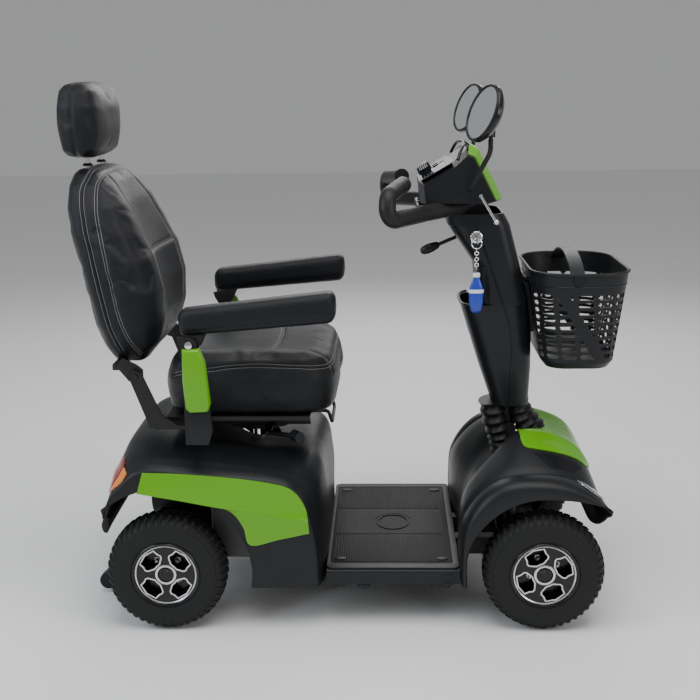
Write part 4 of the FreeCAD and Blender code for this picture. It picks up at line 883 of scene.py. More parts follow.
def grid_piece(name, rows, up, sharp=40.0, thickness=0.0, bevel=0.0, smooth=0, leave_out=None):
    """A sheet over rows of points, facing the way of up at its middle, with a wall thickness inside.

    leave_out says of a point whether the sheet is open there."""
    n = len(rows[0])
    points = [p for row in rows for p in row]
    faces = [(k * n + i, k * n + i + 1, (k + 1) * n + i + 1, (k + 1) * n + i)
             for k in range(len(rows) - 1) for i in range(n - 1)
             if not (leave_out and leave_out(rows[k][i].lerp(rows[k + 1][i + 1], 0.5)))]
    data = mesh_of(name, points, faces, outward=False)
    middle = data.polygons[len(data.polygons) // 2]
    if middle.normal.dot(Vector(up)) < 0:
        data.flip_normals()
    piece = piece_from(name, data, sharp)
    if thickness or smooth or bevel:
        piece = finish_edges(piece, thickness, bevel, smooth)
    return piece


def tree_of(piece):
    """A search tree of a piece's faces, in metres."""
    bpy.context.view_layer.update()
    return BVHTree.FromObject(piece, bpy.context.evaluated_depsgraph_get())


def sheet_tree(rows, up):
    """A search tree of a skin's outer side alone, so that what is laid on it never finds the inner wall."""
    sheet = grid_piece("outer_side", rows, up)
    tree = tree_of(sheet)
    bpy.data.objects.remove(sheet)
    return tree


def draped(name, rows, surface, lift, thickness=2.0, along=24, across=24, bevel=0.6, raised=None, sharp=40.0,
           leave_out=None):
    """A panel whose rows of points are laid on a surface and lifted off it; raised adds to the lift by place."""
    lines = [spline(row, across) for row in rows]
    grid = []
    for i in range(across):
        grid.append(spline([line[i] for line in lines], along))
    laid = []
    for row in grid:
        line = []
        for point in row:
            place, normal, _, _ = surface.find_nearest(point * MM)
            extra = raised(point) if raised else 0.0
            line.append(place / MM + normal * (lift + extra))
        laid.append(line)
    middle = laid[len(laid) // 2][len(laid[0]) // 2]
    _, normal, _, _ = surface.find_nearest(middle * MM)
    return grid_piece(name, laid, normal, sharp, thickness, bevel, leave_out=leave_out)


print("skin tools ready")

# %% [markdown]
# ### Front body
# The rider's side is a leg shield, hollowed at its middle where the steering boot stands. It rises to the hood and
# falls to the nose. The fender is a separate swelling outside a shallow valley, and its lip follows the wheel at the
# back and runs nearly level at the front.
# %% Front body skin
SILL_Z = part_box("front_shroud")[0].z / MM
FRONT_STATIONS = [
    (0, [(240, SILL_Z), (264, 180), (292, 262), (345, 318), (374, 366), (440, 372), (505, 346), (539, 290),
         (557, 222), (533, 191)]),
    (46, [(240, SILL_Z), (260, 180), (286, 262), (341, 320), (371, 370), (440, 374), (505, 347), (539, 290),
          (557, 222), (533, 191)]),
    (82, [(239, SILL_Z), (252, 180), (272, 264), (330, 342), (372, 383), (440, 381), (503, 349), (538, 290),
          (557, 222), (533, 191)]),
    (112, [(239, SILL_Z), (245, 180), (261, 266), (324, 346), (374, 386), (438, 374), (500, 347), (537, 289),
           (556, 222), (533, 191)]),
    (150, [(238, SILL_Z), (240, 178), (250, 262), (308, 334), (366, 369), (434, 367), (498, 339), (537, 284),
           (555, 224), (535, 194)]),
    (200, [(238, SILL_Z), (239, 174), (244, 248), (291, 311), (350, 341), (428, 344), (495, 322), (539, 276),
           (555, 236), (540, 210)]),
    (226, [(239, SILL_Z), (239, 171), (245, 236), (287, 294), (345, 325), (424, 330), (492, 313), (538, 277),
           (555, 248), (548, 228)]),
    (240, [(239, SILL_Z), (238, 171), (244, 238), (283, 299), (340, 333), (421, 337), (490, 319), (537, 282),
           (555, 254), (551, 240)]),
    (266, [(240, SILL_Z), (239, 170), (246, 236), (284, 297), (339, 330), (420, 334), (489, 318), (536, 285),
           (554, 262), (551, 252)]),
    (281, [(243, SILL_Z), (242, 168), (251, 231), (290, 288), (342, 320), (417, 325), (487, 312), (534, 286),
           (552, 267), (551, 260)]),
    (285, [(247, SILL_Z), (246, 166), (258, 225), (299, 276), (348, 305), (413, 312), (484, 303), (532, 284),
           (551, 270), (551, 266)]),
    (284, [(250, SILL_Z), (250, 164), (267, 214), (308, 260), (356, 288), (411, 298), (480, 294), (530, 283),
           (549, 272), (549, 270)]),
    (278, [(252, SILL_Z), (252, 163), (269, 212), (310, 258), (357, 286), (411, 296), (480, 292), (529, 281),
           (548, 271), (548, 269)]),
]
front_rows = skin_grid(FRONT_STATIONS, 72, 73)
front_body = grid_piece("front_body_skin", front_rows, (0, 0, 1), 60, thickness=3.4)
boot_hole = loft("boot_hole", [level_ring((379, 0, z), 54, 38, 2.6) for z in (250, 460)])
front_body = carve(front_body, boot_hole)
front_tree = sheet_tree(front_rows, (0, 0, 1))
settle(front_body, "moulded", "chassis", ["front_shroud"])
print("front body", len(front_body.data.polygons), "faces")

# %% [markdown]
# ### Hood, grille dots and headlamps
# The green hood lies on the front body like a saddle, with a fine ridge along each side. Below it a patch of small
# dimples fades out towards the fender. The headlamps are slanted windows: a bright reflector with ribs under a clear
# lens, in a black frame. All are laid on the skin, so they follow its shape.
# %% Front panel and lamps
HOOD_ROWS = [
    [(373, w, 397) for w in (-112, -60, 0, 60, 112)],
    [(381, -148, 370), (381, -75, 396), (381, 0, 378), (381, 75, 396), (381, 148, 370)],
    [(404, -156, 362), (404, -78, 392), (404, 0, 374), (404, 78, 392), (404, 156, 362)],
    [(446, -156, 352), (446, -78, 380), (446, 0, 372), (446, 78, 380), (446, 156, 352)],
    [(486, -150, 340), (486, -75, 356), (486, 0, 358), (486, 75, 356), (486, 150, 340)],
    [(510, -138, 322), (510, -70, 334), (510, 0, 336), (510, 70, 334), (510, 138, 322)],
    [(524, -112, 306), (526, -56, 312), (527, 0, 313), (526, 56, 312), (524, 112, 306)],
]
RIDGE_Y = 98.0


def hood_ridge(point):
    """The hood swells to a fine ridge at both sides."""
    off = abs(abs(point.y) - RIDGE_Y)
    return max(0.0, 3.2 - off * 0.12)


def under_boot(point):
    """The hood is open where the front boot stands."""
    return abs((point.x - 384) / 62) ** 2.4 + abs(point.y / 44) ** 2.4 < 1


hood = draped("front_hood", HOOD_ROWS, front_tree, 2.4, 2.6, 64, 97, raised=hood_ridge, sharp=24, leave_out=under_boot)
settle(hood, "green", "chassis", ["front_panel"])

for side in (-1, 1):
    tag = "left" if side > 0 else "right"
    outline = [[(476, side * 236, 322), (508, side * 228, 318), (525, side * 216, 306), (540, side * 204, 292)],
               [(487, side * 252, 312), (515, side * 247, 304), (530, side * 240, 296), (545, side * 232, 287)],
               [(500, side * 262, 305), (522, side * 259, 296), (534, side * 255, 291), (547, side * 250, 286)]]
    settle(draped("headlamp_frame_" + tag, outline, front_tree, 1.0, 2.0, 14, 22), "gloss_black", "chassis")
    inner = [[Vector(p) * 0.86 + Vector(outline[1][1]) * 0.14 for p in row] for row in outline]
    settle(draped("headlamp_reflector_" + tag, inner, front_tree, 2.2, 0.8, 14, 22,
                  raised=lambda p: 0.7 * math.sin(p.x * 1.1)), "chrome", "chassis")
    glass = settle(draped("headlamp_lens_" + tag, inner, front_tree, 4.4, 1.0, 14, 22), "clear_lens", "chassis")
    if side > 0:
        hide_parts("headlamps")

DIMPLE = 1.5
dimple_points = []
for row in range(11):
    for column in range(34):
        x = 402 + column * 3.6 + (row % 2) * 1.8
        drop = row * 3.4
        if x < 400 + drop * 0.9 or x > 522 - drop * 1.25:
            continue
        dimple_points.append((x, 166 + drop * 0.95, 352 - drop * 0.6 - (x - 402) * 0.12))
rings = []
for side in (-1, 1):
    for x, y, z in dimple_points:
        place, normal, _, _ = front_tree.find_nearest(Vector((x, side * y, z)) * MM)
        out = normal
        first = out.orthogonal().normalized()
        other = out.cross(first)
        middle = place / MM + out * 0.35
        rings.append((middle, first, other, out))


def dimple_patch(name, rings):
    """Small raised hexagon studs, as the pattern's cells."""
    points, faces = [], []
    for middle, first, other, out in rings:
        base = len(points)
        for height, radius in ((-0.5, DIMPLE), (0.25, DIMPLE * 0.8)):
            points += [middle + out * height + (first * math.cos(k * math.pi / 3)
                                                + other * math.sin(k * math.pi / 3)) * radius for k in range(6)]
        faces += [(base + k, base + (k + 1) % 6, base + 6 + (k + 1) % 6, base + 6 + k) for k in range(6)]
        faces.append(tuple(base + 6 + k for k in range(6)))
    return piece_from(name, mesh_of(name, points, faces), 25)


settle(dimple_patch("hood_side_studs", rings), "gloss_black", "chassis")
print("front panel, lamps and", len(rings), "studs")

# %% [markdown]
# ### Rear body
# The rear body is a broad cover over the batteries and drive: nearly flat on top, round at its corners, upright
# towards the floor. Its sides end at the wheel arches.
# %% Rear body skin
REAR_HUB = (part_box("rear_tyre_left")[0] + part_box("rear_tyre_left")[1]) / 2 / MM
ARCH_R = 192.0


def arch_point(degrees, radius=ARCH_R):
    a = math.radians(degrees)
    return (REAR_HUB.x + radius * math.cos(a), REAR_HUB.z + radius * math.sin(a))


ARCH_ANGLES = (132, 122, 110, 97, 72, 44, 22, 7, -2, -9.3)
REAR_STATIONS = [
    (0, [(-530, 245), (-523, 300), (-510, 345), (-466, 396), (-330, 390), (-200, 362), (-85, 352), (-54, 273),
         (-50, 180), (-50, SILL_Z)]),
    (90, [(-530, 245), (-522, 300), (-509, 345), (-464, 398), (-328, 391), (-196, 368), (-80, 355), (-52, 273),
          (-50, 180), (-50, SILL_Z)]),
    (150, [(-529, 245), (-520, 300), (-506, 345), (-460, 397), (-322, 390), (-190, 371), (-76, 354), (-51, 273),
           (-50, 180), (-50, SILL_Z)]),
    (205, [(-528, 245), (-517, 300), (-502, 341), (-453, 389), (-314, 381), (-178, 364), (-82, 343), (-57, 273),
           (-53, 180), (-52, SILL_Z)]),
    (240, [(-526, 245), (-514, 299), (-494, 337), (-446, 380), (-308, 373), (-166, 355), (-90, 328), (-66, 265),
           (-58, 180), (-56, SILL_Z)]),
    (256, [(-525, 247), (-511, 299), (-489, 333), (-440, 374), (-305, 366), (-160, 349), (-96, 320), (-73, 260),
           (-62, 180), (-60, SILL_Z)]),
    (270, [(-524, 250), (-509, 299), (-485, 330), (-436, 367), (-302, 359), (-154, 342), (-101, 312), (-79, 257),
           (-66, 180), (-64, SILL_Z)]),
    (281, [(-523, 256), (-508, 298), (-483, 326), (-434, 358), (-301, 350), (-152, 332), (-107, 302), (-85, 252),
           (-72, 180), (-70, SILL_Z)]),
    (284, [(-522, 264), (-506, 296), (-478, 319), (-430, 344), (-304, 338), (-166, 318), (-122, 288), (-101, 240),
           (-90, 170), (-88, SILL_Z)]),
    (284.5, [arch_point(a, ARCH_R + 2) for a in ARCH_ANGLES]),
    (279, [arch_point(a, ARCH_R - 1) for a in ARCH_ANGLES]),
    (262, [arch_point(a, ARCH_R - 2) for a in ARCH_ANGLES]),
]
rear_rows = skin_grid(REAR_STATIONS, 72, 78)
rear_body = grid_piece("rear_body_skin", rear_rows, (0, 0, 1), 50, thickness=3.4)
post_hole = loft("post_hole", [level_ring((-210, 0, z), 46, 46, 2.0) for z in (250, 460)])
rear_body = carve(rear_body, post_hole)
rear_tree = sheet_tree(rear_rows, (0, 0, 1))
settle(rear_body, "moulded", "chassis", ["rear_shroud"])
print("rear body", len(rear_body.data.polygons), "faces")

# %% [markdown]
# ### Side panels
# Each green side panel has two facets that meet at a crease: a long upper one that leans out towards the crease and a
# short lower one, ahead of the arch, that leans back in and so catches more light.
# %% Rear side panels
PANEL_TOP = [(-432, 359), (-365, 357), (-294, 352), (-225, 345), (-166, 336), (-128, 326), (-106, 308), (-90, 280),
             (-85, 255)]
PANEL_MIDDLE = [(-444, 315), (-400, 307), (-350, 298), (-300, 288), (-261, 281), (-215, 275), (-170, 268),
                (-125, 261), (-85, 255)]
PANEL_CREASE = [(-261, 281), (-232, 277.5), (-205, 274), (-170, 268), (-130, 262), (-85, 255)]
PANEL_BOTTOM = [(-261, 280), (-240, 265), (-222, 236), (-208, 197), (-146, 210), (-83, 224)]


def facet(name, top, low, y_top, y_low, rows=6, columns=44):
    """A ruled facet between two outlines on the near side."""
    first = spline([(x, -y_top, z) for x, z in top], columns)
    last = spline([(x, -y_low, z) for x, z in low], columns)
    grid = [[a.lerp(b, k / rows) for a, b in zip(first, last)] for k in range(rows + 1)]
    return grid_piece(name, grid, (0, -1, 0), 30, thickness=3.0, bevel=0.9)


for side in (-1, 1):
    upper = facet("upper_facet", PANEL_TOP, PANEL_MIDDLE, 284.5, 291.5)
    lower = facet("lower_facet", PANEL_CREASE, PANEL_BOTTOM, 291.3, 287.0)
    panel = joined("rear_side_panel_right", [upper, lower], 14)
    if side > 0:
        far = mirrored_copy(panel, "rear_side_panel_left")
        bpy.data.objects.remove(panel)
        panel = far
    settle(panel, "green", "chassis", ["rear_side_panels"])

# %% [markdown]
# ### Tail lamps and bumper
# A tail lamp wraps each rear corner: red towards the back, amber round the side. Both are ribbed inside, so each is a
# lens over a pleated reflector. The bumper is a rubber-edged bar below them.
# %% Tail lamps
for side in (-1, 1):
    tag = "left" if side > 0 else "right"
    red = [[(-505, side * 196, 372), (-512, side * 196, 345), (-520, side * 196, 318)],
           [(-492, side * 226, 378), (-507, side * 228, 344), (-516, side * 230, 308)],
           [(-482, side * 246, 364), (-498, side * 252, 338), (-511, side * 256, 304)]]
    amber = [[(-481, side * 249, 362), (-497, side * 255, 337), (-508, side * 259, 307)],
             [(-472, side * 260, 356), (-482, side * 267, 335), (-499, side * 268, 314)],
             [(-465, side * 270, 350), (-470, side * 275, 338), (-486, side * 276, 324)]]
    for colour, rows in (("red", red), ("amber", amber)):
        settle(draped(f"tail_reflector_{colour}_{tag}", rows, rear_tree, 0.6, 0.8, 18, 18,
                      raised=lambda p: 0.8 * math.sin(p.z * 0.9)), "chrome", "chassis")
        lens = settle(draped(f"tail_lens_{colour}_{tag}", rows, rear_tree, 3.4, 1.4, 18, 18), colour + "_lens",
                      "chassis")
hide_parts("tail_lamps")

BUMPER_LIP = [(-528, 246), (-540, 236), (-543, 220), (-538, 206), (-530, 204), (-524, 214), (-520, 240)]
bumper_rows = []
for y, back in ((-246, 0), (-238, 3), (-200, 6), (-100, 8), (0, 9), (100, 8), (200, 6), (238, 3), (246, 0)):
    bumper_rows.append([(x - back * 0.6 + 6, y, z) for x, z in BUMPER_LIP])
bumper = loft("rear_bumper_bar", bumper_rows, sharp=50)
bumper = finish_edges(bumper, smooth=1)
settle(bumper, "rubber", "chassis", ["rear_bumper"])
print("rear body dressed")

# %% [markdown]
# ## Padding
# The seat is foam under leatherette. Foam pushes the cover out between its seams, and nothing shows that better than
# letting it happen: each pad starts as a plain block a little under size, is remeshed evenly and blown up as cloth
# with pressure inside, and its movement is capped so that it stays in its place. Seams come afterwards. A seam
# pulls the cover in, so every point near one sinks, and piping and stitches are laid along it.
# %% Pad maker
PRESSURE = 4.0
LAST_FRAME = 20


def swell(piece, voxel, cap, name):
    """Remeshes a block, blows it up as cloth with pressure inside, and limits how far any point moves."""
    mesher = piece.modifiers.new("even_mesh", "REMESH")
    mesher.mode, mesher.voxel_size = "VOXEL", voxel * MM
    piece.name = name + "_block"
    pad = piece_from(name + "_swelling", converted(piece, name), 180)
    start = [v.co.copy() for v in pad.data.vertices]
    cloth = pad.modifiers.new("swell", "CLOTH")
    cloth.settings.use_pressure, cloth.settings.uniform_pressure_force = True, PRESSURE
    cloth.settings.effector_weights.gravity = 0
    cloth.settings.mass = 0.3
    cloth.settings.quality = 5
    scene = bpy.context.scene
    for count in range(1, LAST_FRAME + 1):
        scene.frame_set(count)
    data = converted(pad, name)
    bpy.context.scene.frame_set(1)
    for vertex, first in zip(data.vertices, start):
        move = vertex.co - first
        if move.length > cap * MM:
            vertex.co = first + move.normalized() * cap * MM
    return piece_from(name, data, 180)


def subdivided(piece, levels=1):
    return finish_edges(piece, smooth=levels)


def evened(points, rounds=6):
    """A path with its small zigzags averaged away; its ends stay."""
    for _ in range(rounds):
        points = [points[0], *((a + 2 * b + c) / 4 for a, b, c in zip(points, points[1:], points[2:])), points[-1]]
    return points


def on_pad(tree, points, count=90):
    """A smooth path through chosen points, laid on a pad's surface; gives places and outward directions."""
    laid = evened([tree.find_nearest(point * MM)[0] / MM for point in spline(points, count)])
    return [(point, tree.find_nearest(point * MM)[1]) for point in laid]


def sink_seams(piece, seams, depth, width):
    """Pulls the cover in along the seams."""
    samples = [p for seam in seams for p, _ in seam]
    near = KDTree(len(samples))
    for k, p in enumerate(samples):
        near.insert(p * MM, k)
    near.balance()
    normals = [v.normal.copy() for v in piece.data.vertices]
    for vertex, normal in zip(piece.data.vertices, normals):
        _, _, distance = near.find(vertex.co)
        vertex.co -= normal * depth * MM * math.exp(-(distance / (width * MM)) ** 2)
    piece.data.update()


def crumple(piece, depth, size, seed):
    """Low, soft unevenness of stretched leatherette."""
    drift = Vector((seed * 3.7, seed * 1.3, seed * 2.1))
    normals = [v.normal.copy() for v in piece.data.vertices]
    for vertex, normal in zip(piece.data.vertices, normals):
        q = vertex.co / (size * MM) + drift
        vertex.co += normal * (noise.noise(q) + 0.4 * noise.noise(q * 2.3)) * depth * MM
    piece.data.update()


def offset_path(seam, lift, aside):
    """A path beside a seam: lifted off the surface and moved sideways along it."""
    result = []
    for k, (place, normal) in enumerate(seam):
        ahead = seam[min(k + 1, len(seam) - 1)][0] - seam[max(k - 1, 0)][0]
        side = normal.cross(ahead).normalized() if ahead.length > 1e-6 else Vector((0, 0, 0))
        result.append(place + normal * lift + side * aside)
    return result


def sew(name, body, tree, seams, double=True, piping=0.0, aside=4.2):
    """Rows of stitches beside each seam, and piping in it where a thickness is given."""
    lines = []
    for seam in seams:
        for way in ((-1, 1) if double else (1,)):
            laid = []
            for point in evened(offset_path(seam, 0, way * aside)):
                place, normal, _, _ = tree.find_nearest(point * MM)
                laid.append(place / MM + normal * 0.2)
            lines.append(evened(laid, 2))
    settle(stitched(name + "_stitches", lines, thick=0.42), "thread", body)
    if piping:
        tubes = [sweep("piping", [p + n * piping * 0.35 for p, n in seam][::2], piping, 8) for seam in seams]
        settle(joined(name + "_piping", tubes), "leather", body)


print("pad tools ready")

# %% [markdown]
# ### Seat cushion
# A thick bucket: the top panel is dished for the rider, a seam runs round its edge above a tall side band, and a
# second pair of seams divides the top into a middle and two bolsters, with one cross seam.
# %% Seat cushion
DISH_DEPTH = 12
low, high = (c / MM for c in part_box("seat_cushion"))
CUSHION_RINGS = [(0, 18, 20, 188), (8, 8, 12, 206), (40, 6, 9, 220), (80, 7, 7, 224), (108, 12, 14, 216),
                 (124, 20, 24, 208), (130, 44, 54, 186)]


def rounded_box_rings(table, low_x, high_x, base_z, power, count=64):
    """Rings of a block: each row gives height, how far front and back are drawn in, and half the width."""
    rings = []
    for rise, rear, front, half in table:
        x0, x1 = low_x + rear, high_x - front
        rings.append(round_ring(((x0 + x1) / 2, 0, base_z + rise), (x1 - x0) / 2, half, (1, 0, 0), (0, 1, 0),
                                power, count))
    return rings


block = loft("seat_block", rounded_box_rings(CUSHION_RINGS, low.x, high.x, low.z + 1, 5.0))
cushion = swell(block, 6, 7, "seat_cushion_pad")
for vertex in cushion.data.vertices:
    x, y, z = vertex.co / MM
    if z > high.z - 50:
        across, ahead = min(1, abs(y) / 150), min(1, max(0, (x + 380) / 330))
        dish = DISH_DEPTH * (1 - across ** 2) * (1 - (2 * ahead - 0.9) ** 2 * 0.8)
        vertex.co.z -= max(0, dish) * MM * min(1, (z - high.z + 50) / 45)
cushion = subdivided(cushion)
crumple(cushion, 0.9, 55, 1)
tree = tree_of(cushion)
EDGE_Z = low.z + 122
edge_half = [(low.x + 20, -200, EDGE_Z - 24), (low.x + 100, -228, EDGE_Z - 8), (-230, -228, EDGE_Z + 4),
             (-110, -226, EDGE_Z + 2), (high.x - 34, -204, EDGE_Z - 6), (high.x - 8, -150, EDGE_Z - 10),
             (high.x - 4, 0, EDGE_Z - 12)]
edge_seam = on_pad(tree, mirrored(edge_half), 260)
bolster_seams = [on_pad(tree, [(low.x + 45, s * 140, high.z), (-250, s * 138, high.z), (-130, s * 146, high.z + 4),
                               (high.x - 45, s * 158, high.z - 4), (high.x - 8, s * 160, high.z - 40)], 120)
                 for s in (-1, 1)]
cross_seam = on_pad(tree, [(-165, -138, high.z + 4), (-160, 0, high.z), (-165, 138, high.z + 4)], 80)
sink_seams(cushion, [edge_seam, *bolster_seams, cross_seam], 3.2, 5.5)
tree = tree_of(cushion)
relaid = [on_pad(tree, [p for p, _ in seam][::6], len(seam)) for seam in (edge_seam, *bolster_seams, cross_seam)]
sew("seat_edge", "seat", tree, relaid[:1], True, 2.2)
sew("seat_top", "seat", tree, relaid[1:], True, 0.0, 3.4)
settle(cushion, "leather", "seat", ["seat_cushion"])
print("seat cushion", len(cushion.data.polygons), "faces")

# %% [markdown]
# ### Backrest
# The backrest is a deep shell: a plain rear panel, a side band between two seams and a softer front with bolsters.
# Its outline is widest at the elbows and narrows to the shoulders, and it leans back. The rear seam carries piping
# with a row of stitches on each side.
# %% Backrest cushion
low, high = (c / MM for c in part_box("backrest_cushion"))
BACK_SECTIONS = [(566, -506, -436, 164), (580, -514, -430, 178), (600, -524, -416, 192), (650, -540, -402, 208),
                 (720, -556, -400, 211), (790, -570, -416, 209), (850, -583, -444, 201), (905, -590, -470, 186),
                 (948, -591, -500, 158), (972, -584, -524, 128), (981, -576, -546, 100)]
rings = []
for z, back, front, half in BACK_SECTIONS:
    rings.append(level_ring(((back + front) / 2, 0, z), (front - back) / 2, half, 5.5, 72))
BACK_LEAN, BOLSTER_RISE = 0.22, 20
block = loft("backrest_block", rings)
backrest = swell(block, 6, 5, "backrest_pad")
for vertex in backrest.data.vertices:
    x, y, z = vertex.co / MM
    middle = -470 - (z - 640) * BACK_LEAN
    if x > middle:
        across, up = abs(y) / 120, (z - 760) / 200
        vertex.co.x -= max(0, (1 - across ** 2) * (1 - up ** 2)) * BOLSTER_RISE * MM * min(1, (x - middle) / 30)
backrest = subdivided(backrest)
crumple(backrest, 0.5, 60, 2)
tree = tree_of(backrest)


def back_loop(shift, inset, low_z, high_z, count=240):
    """A seam loop round the backrest, shift millimetres ahead of its rear face."""
    points = []
    for z in (low_z, 640, 720, 800, 860, 910, 950, high_z):
        section = min(BACK_SECTIONS, key=lambda s: abs(s[0] - z))
        points.append((section[1] + shift, -section[3] + inset, z))
    top = [(points[-1][0] + 2, -60, high_z + 14), (points[-1][0] + 3, 60, high_z + 14)]
    path = points + top + [(x, -y, z) for x, y, z in reversed(points)]
    return on_pad(tree, path, count)


rear_seam = back_loop(40, 0, 596, 966)
front_seam = back_loop(70, 6, 590, 968)
panel_seams = [on_pad(tree, [(-404, s * 118, 640), (-404, s * 122, 740), (-428, s * 118, 820), (-468, s * 104, 900),
                             (-510, s * 86, 962)], 120) for s in (-1, 1)]
waist_seam = on_pad(tree, mirrored([(-420, -118, 800), (-425, 0, 800)]), 80)
seams = [rear_seam, front_seam, *panel_seams, waist_seam]
sink_seams(backrest, seams, 2.8, 5.5)
tree = tree_of(backrest)
relaid = [on_pad(tree, [p for p, _ in seam][::6], len(seam)) for seam in seams]
sew("backrest_edge", "backrest", tree, relaid[:1], True, 2.4, 5.0)
sew("backrest_front", "backrest", tree, relaid[1:], True, 0.0, 3.2)
settle(backrest, "leather", "backrest", ["backrest_cushion"])
print("backrest", len(backrest.data.polygons), "faces")

# %% [markdown]
# ### Headrest
# A small upright pillow on two chromed posts. Its back is a separate panel with a seam round it.
# %% Headrest
low, high = (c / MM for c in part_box("headrest"))
HEAD_SECTIONS = [(1002, -602, -540, 100), (1014, -609, -526, 118), (1060, -613, -520, 127), (1105, -613, -520, 128),
                 (1140, -609, -527, 120), (1154, -599, -543, 98)]
rings = [level_ring(((a + b) / 2, 0, z), (b - a) / 2, half, 4.4, 56)
         for z, a, b, half in HEAD_SECTIONS]
pillow = swell(loft("headrest_block", rings), 5, 4, "headrest_pillow")
pillow = subdivided(pillow)
crumple(pillow, 0.6, 45, 3)
tree = tree_of(pillow)
head_loop = []
for k in range(33):
    t = 2 * math.pi * k / 32
    head_loop.append((-572, 124 * math.copysign(abs(math.cos(t)) ** 0.6, math.cos(t)),
                      1078 + 76 * math.copysign(abs(math.sin(t)) ** 0.6, math.sin(t))))
head_seam = on_pad(tree, head_loop, 200)
sink_seams(pillow, [head_seam], 2.2, 4.5)
settle(pillow, "leather", "headrest", ["headrest"])
# %% Hinge arms and headrest posts
# What shows of the backrest's frame is its two hinge arms and the bar between them.
HINGE_ARM = [(-433, 542), (-446, 538), (-462, 542), (-486, 572), (-474, 590), (-446, 576), (-433, 566)]
arms = [plate("arm", [HINGE_ARM], 6, side_on(s * 218), bevel=0.8) for s in (-1, 1)]
arms += [slab("bar", (-497, -217, 564), (-477, 217, 577), 1.0)]
arms += [lathe("hinge_bolt", [(0.01, 4), (5, 4), (8, 2.4), (8.6, 0), (0.01, 0)], (-447, s * 221.5, 554), (0, s, 0), 28)
         for s in (-1, 1)]
settle(joined("backrest_hinge_arms", arms, 35), "steel", "backrest", ["backrest_frame"])
post_x, post_y = -562.0, 60.0
posts = []
for s in (-1, 1):
    posts.append(sweep("post", [(post_x, s * post_y, 905), (post_x, s * post_y, 960), (post_x, s * post_y, 1030)],
                       4.9, 16, smooth=False))
    posts.append(lathe("collar", [(5.2, 0), (11, 0), (11, 3), (8, 6), (5.2, 6)], (post_x, s * post_y, 981),
                       (0, 0, 1), 32))
settle(joined("headrest_posts", [posts[0], posts[2]]), "chrome", "headrest")
settle(joined("headrest_post_collars", [posts[1], posts[3]]), "satin", "backrest")
print("headrest", len(pillow.data.polygons), "faces")

# %% [markdown]
# ### Armrests
# Each armrest is a wrapped pad on a hinged steel plate. The wrap has a fold line low on its side; its front end is
# blunt and rounded. Below its pivot a green cover, bevelled like a cut stone, hides the upright's top.
# %% Armrest pads
ARM_LOW, ARM_HIGH = (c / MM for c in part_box("armrest_pad_right"))
PIVOT = Vector((-319, 0, 637))
PAD_SLOPE = math.radians(5.5)


def pad_section(t):
    """Half height, half width and roundness of the pad at t from its rear to its front."""
    ends = min(1.0, t / 0.05, (1 - t) / 0.05)
    full = math.sqrt(max(0.0, 1 - (1 - ends) ** 2))
    return (28 + 5 * t) * (0.55 + 0.45 * full), 29 * (0.62 + 0.38 * full), 3.4


for side in (-1, 1):
    tag = "left" if side > 0 else "right"
    rings = []
    for k in range(41):
        t = k / 40
        along = 4 + t * (ARM_HIGH.x - ARM_LOW.x - 8)
        half_h, half_w, power = pad_section(t)
        middle = Vector((ARM_LOW.x + along, side * 251, 672 + along * math.tan(PAD_SLOPE) + 3))
        ring = round_ring(middle, half_w, half_h, (0, 1, 0), (0, 0, 1), power, 40)
        rings.append([p if p.z > middle.z - half_h * 0.35 else p - Vector((0, (p.y - middle.y) * 0.05, 0))
                      for p in ring])
    pad = subdivided(loft(f"armrest_{tag}_pad", rings))
    crumple(pad, 0.35, 40, 4)
    arm_tree = tree_of(pad)
    folds = [on_pad(arm_tree, [(x, side * (251 + w * 32), 655 + (x - ARM_LOW.x) * 0.096)
                               for x in (ARM_LOW.x + 14, -250, -150, ARM_HIGH.x - 14)], 120) for w in (-1, 1)]
    sink_seams(pad, folds, 1.2, 3.0)
    settle(pad, "leather", "armrest_" + tag, ["armrest_pad_" + tag])
    hinge_plate = [(-334, 622), (-304, 622), (-296, 640), (-290, 652), (-345, 648), (-342, 636)]
    plates = [plate("ear", [hinge_plate], 4, side_on(side * y), bevel=0.6) for y in (228, 276)]
    settle(joined(f"armrest_{tag}_hinge_plates", plates), "steel", "armrest_" + tag)
    bolt = lathe("bolt", [(0.01, 3.5), (3, 3.4), (7.2, 2.2), (8.2, 0), (0.01, 0)],
                 (PIVOT.x, side * 297, PIVOT.z - 1), (0, side, 0), 32)
    settle(bolt, "chrome", "seat").name = f"armrest_{tag}_pivot_bolt"
print("armrest pads from", round(ARM_LOW.x), "to", round(ARM_HIGH.x))

# %% Armrest covers
COVER_OUTLINE = [(-333, 628), (-298, 628), (-287, 600), (-279, 512), (-284, 496), (-322, 494), (-330, 502),
                 (-334, 560)]
low, high = (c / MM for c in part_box("armrest_covers"))
for side in (-1, 1):
    tag = "left" if side > 0 else "right"
    centre = Vector((sum(x for x, z in COVER_OUTLINE) / 8, 0, sum(z for x, z in COVER_OUTLINE) / 8))
    rings = []
    for y, grow in ((high.y - 19, 1.0), (high.y - 6, 1.0), (high.y - 1.5, 0.90), (high.y, 0.84)):
        rings.append([Vector((centre.x + (x - centre.x) * grow, side * y, centre.z + (z - centre.z)
                              * (1 - (1 - grow) * 0.35))) for x, z in COVER_OUTLINE])
    green_cover = finish_edges(loft(f"armrest_cover_{tag}", rings, sharp=20), bevel=1.2)
    settle(green_cover, "green", "seat", ["armrest_covers"] if side > 0 else [])
    bracket = [Vector((x, side * y, z)) for x, y, z in ((-330, 300, 500), (-280, 300, 500), (-277, 300, 452),
                                                       (-286, 298, 424), (-320, 298, 424), (-326, 300, 452))]
    inner = [Vector((p.x, side * 287, p.z)) for p in bracket]
    settle(finish_edges(loft(f"armrest_bracket_{tag}", [inner, bracket], sharp=25), bevel=2.0), "moulded", "seat")
print("armrest covers done")

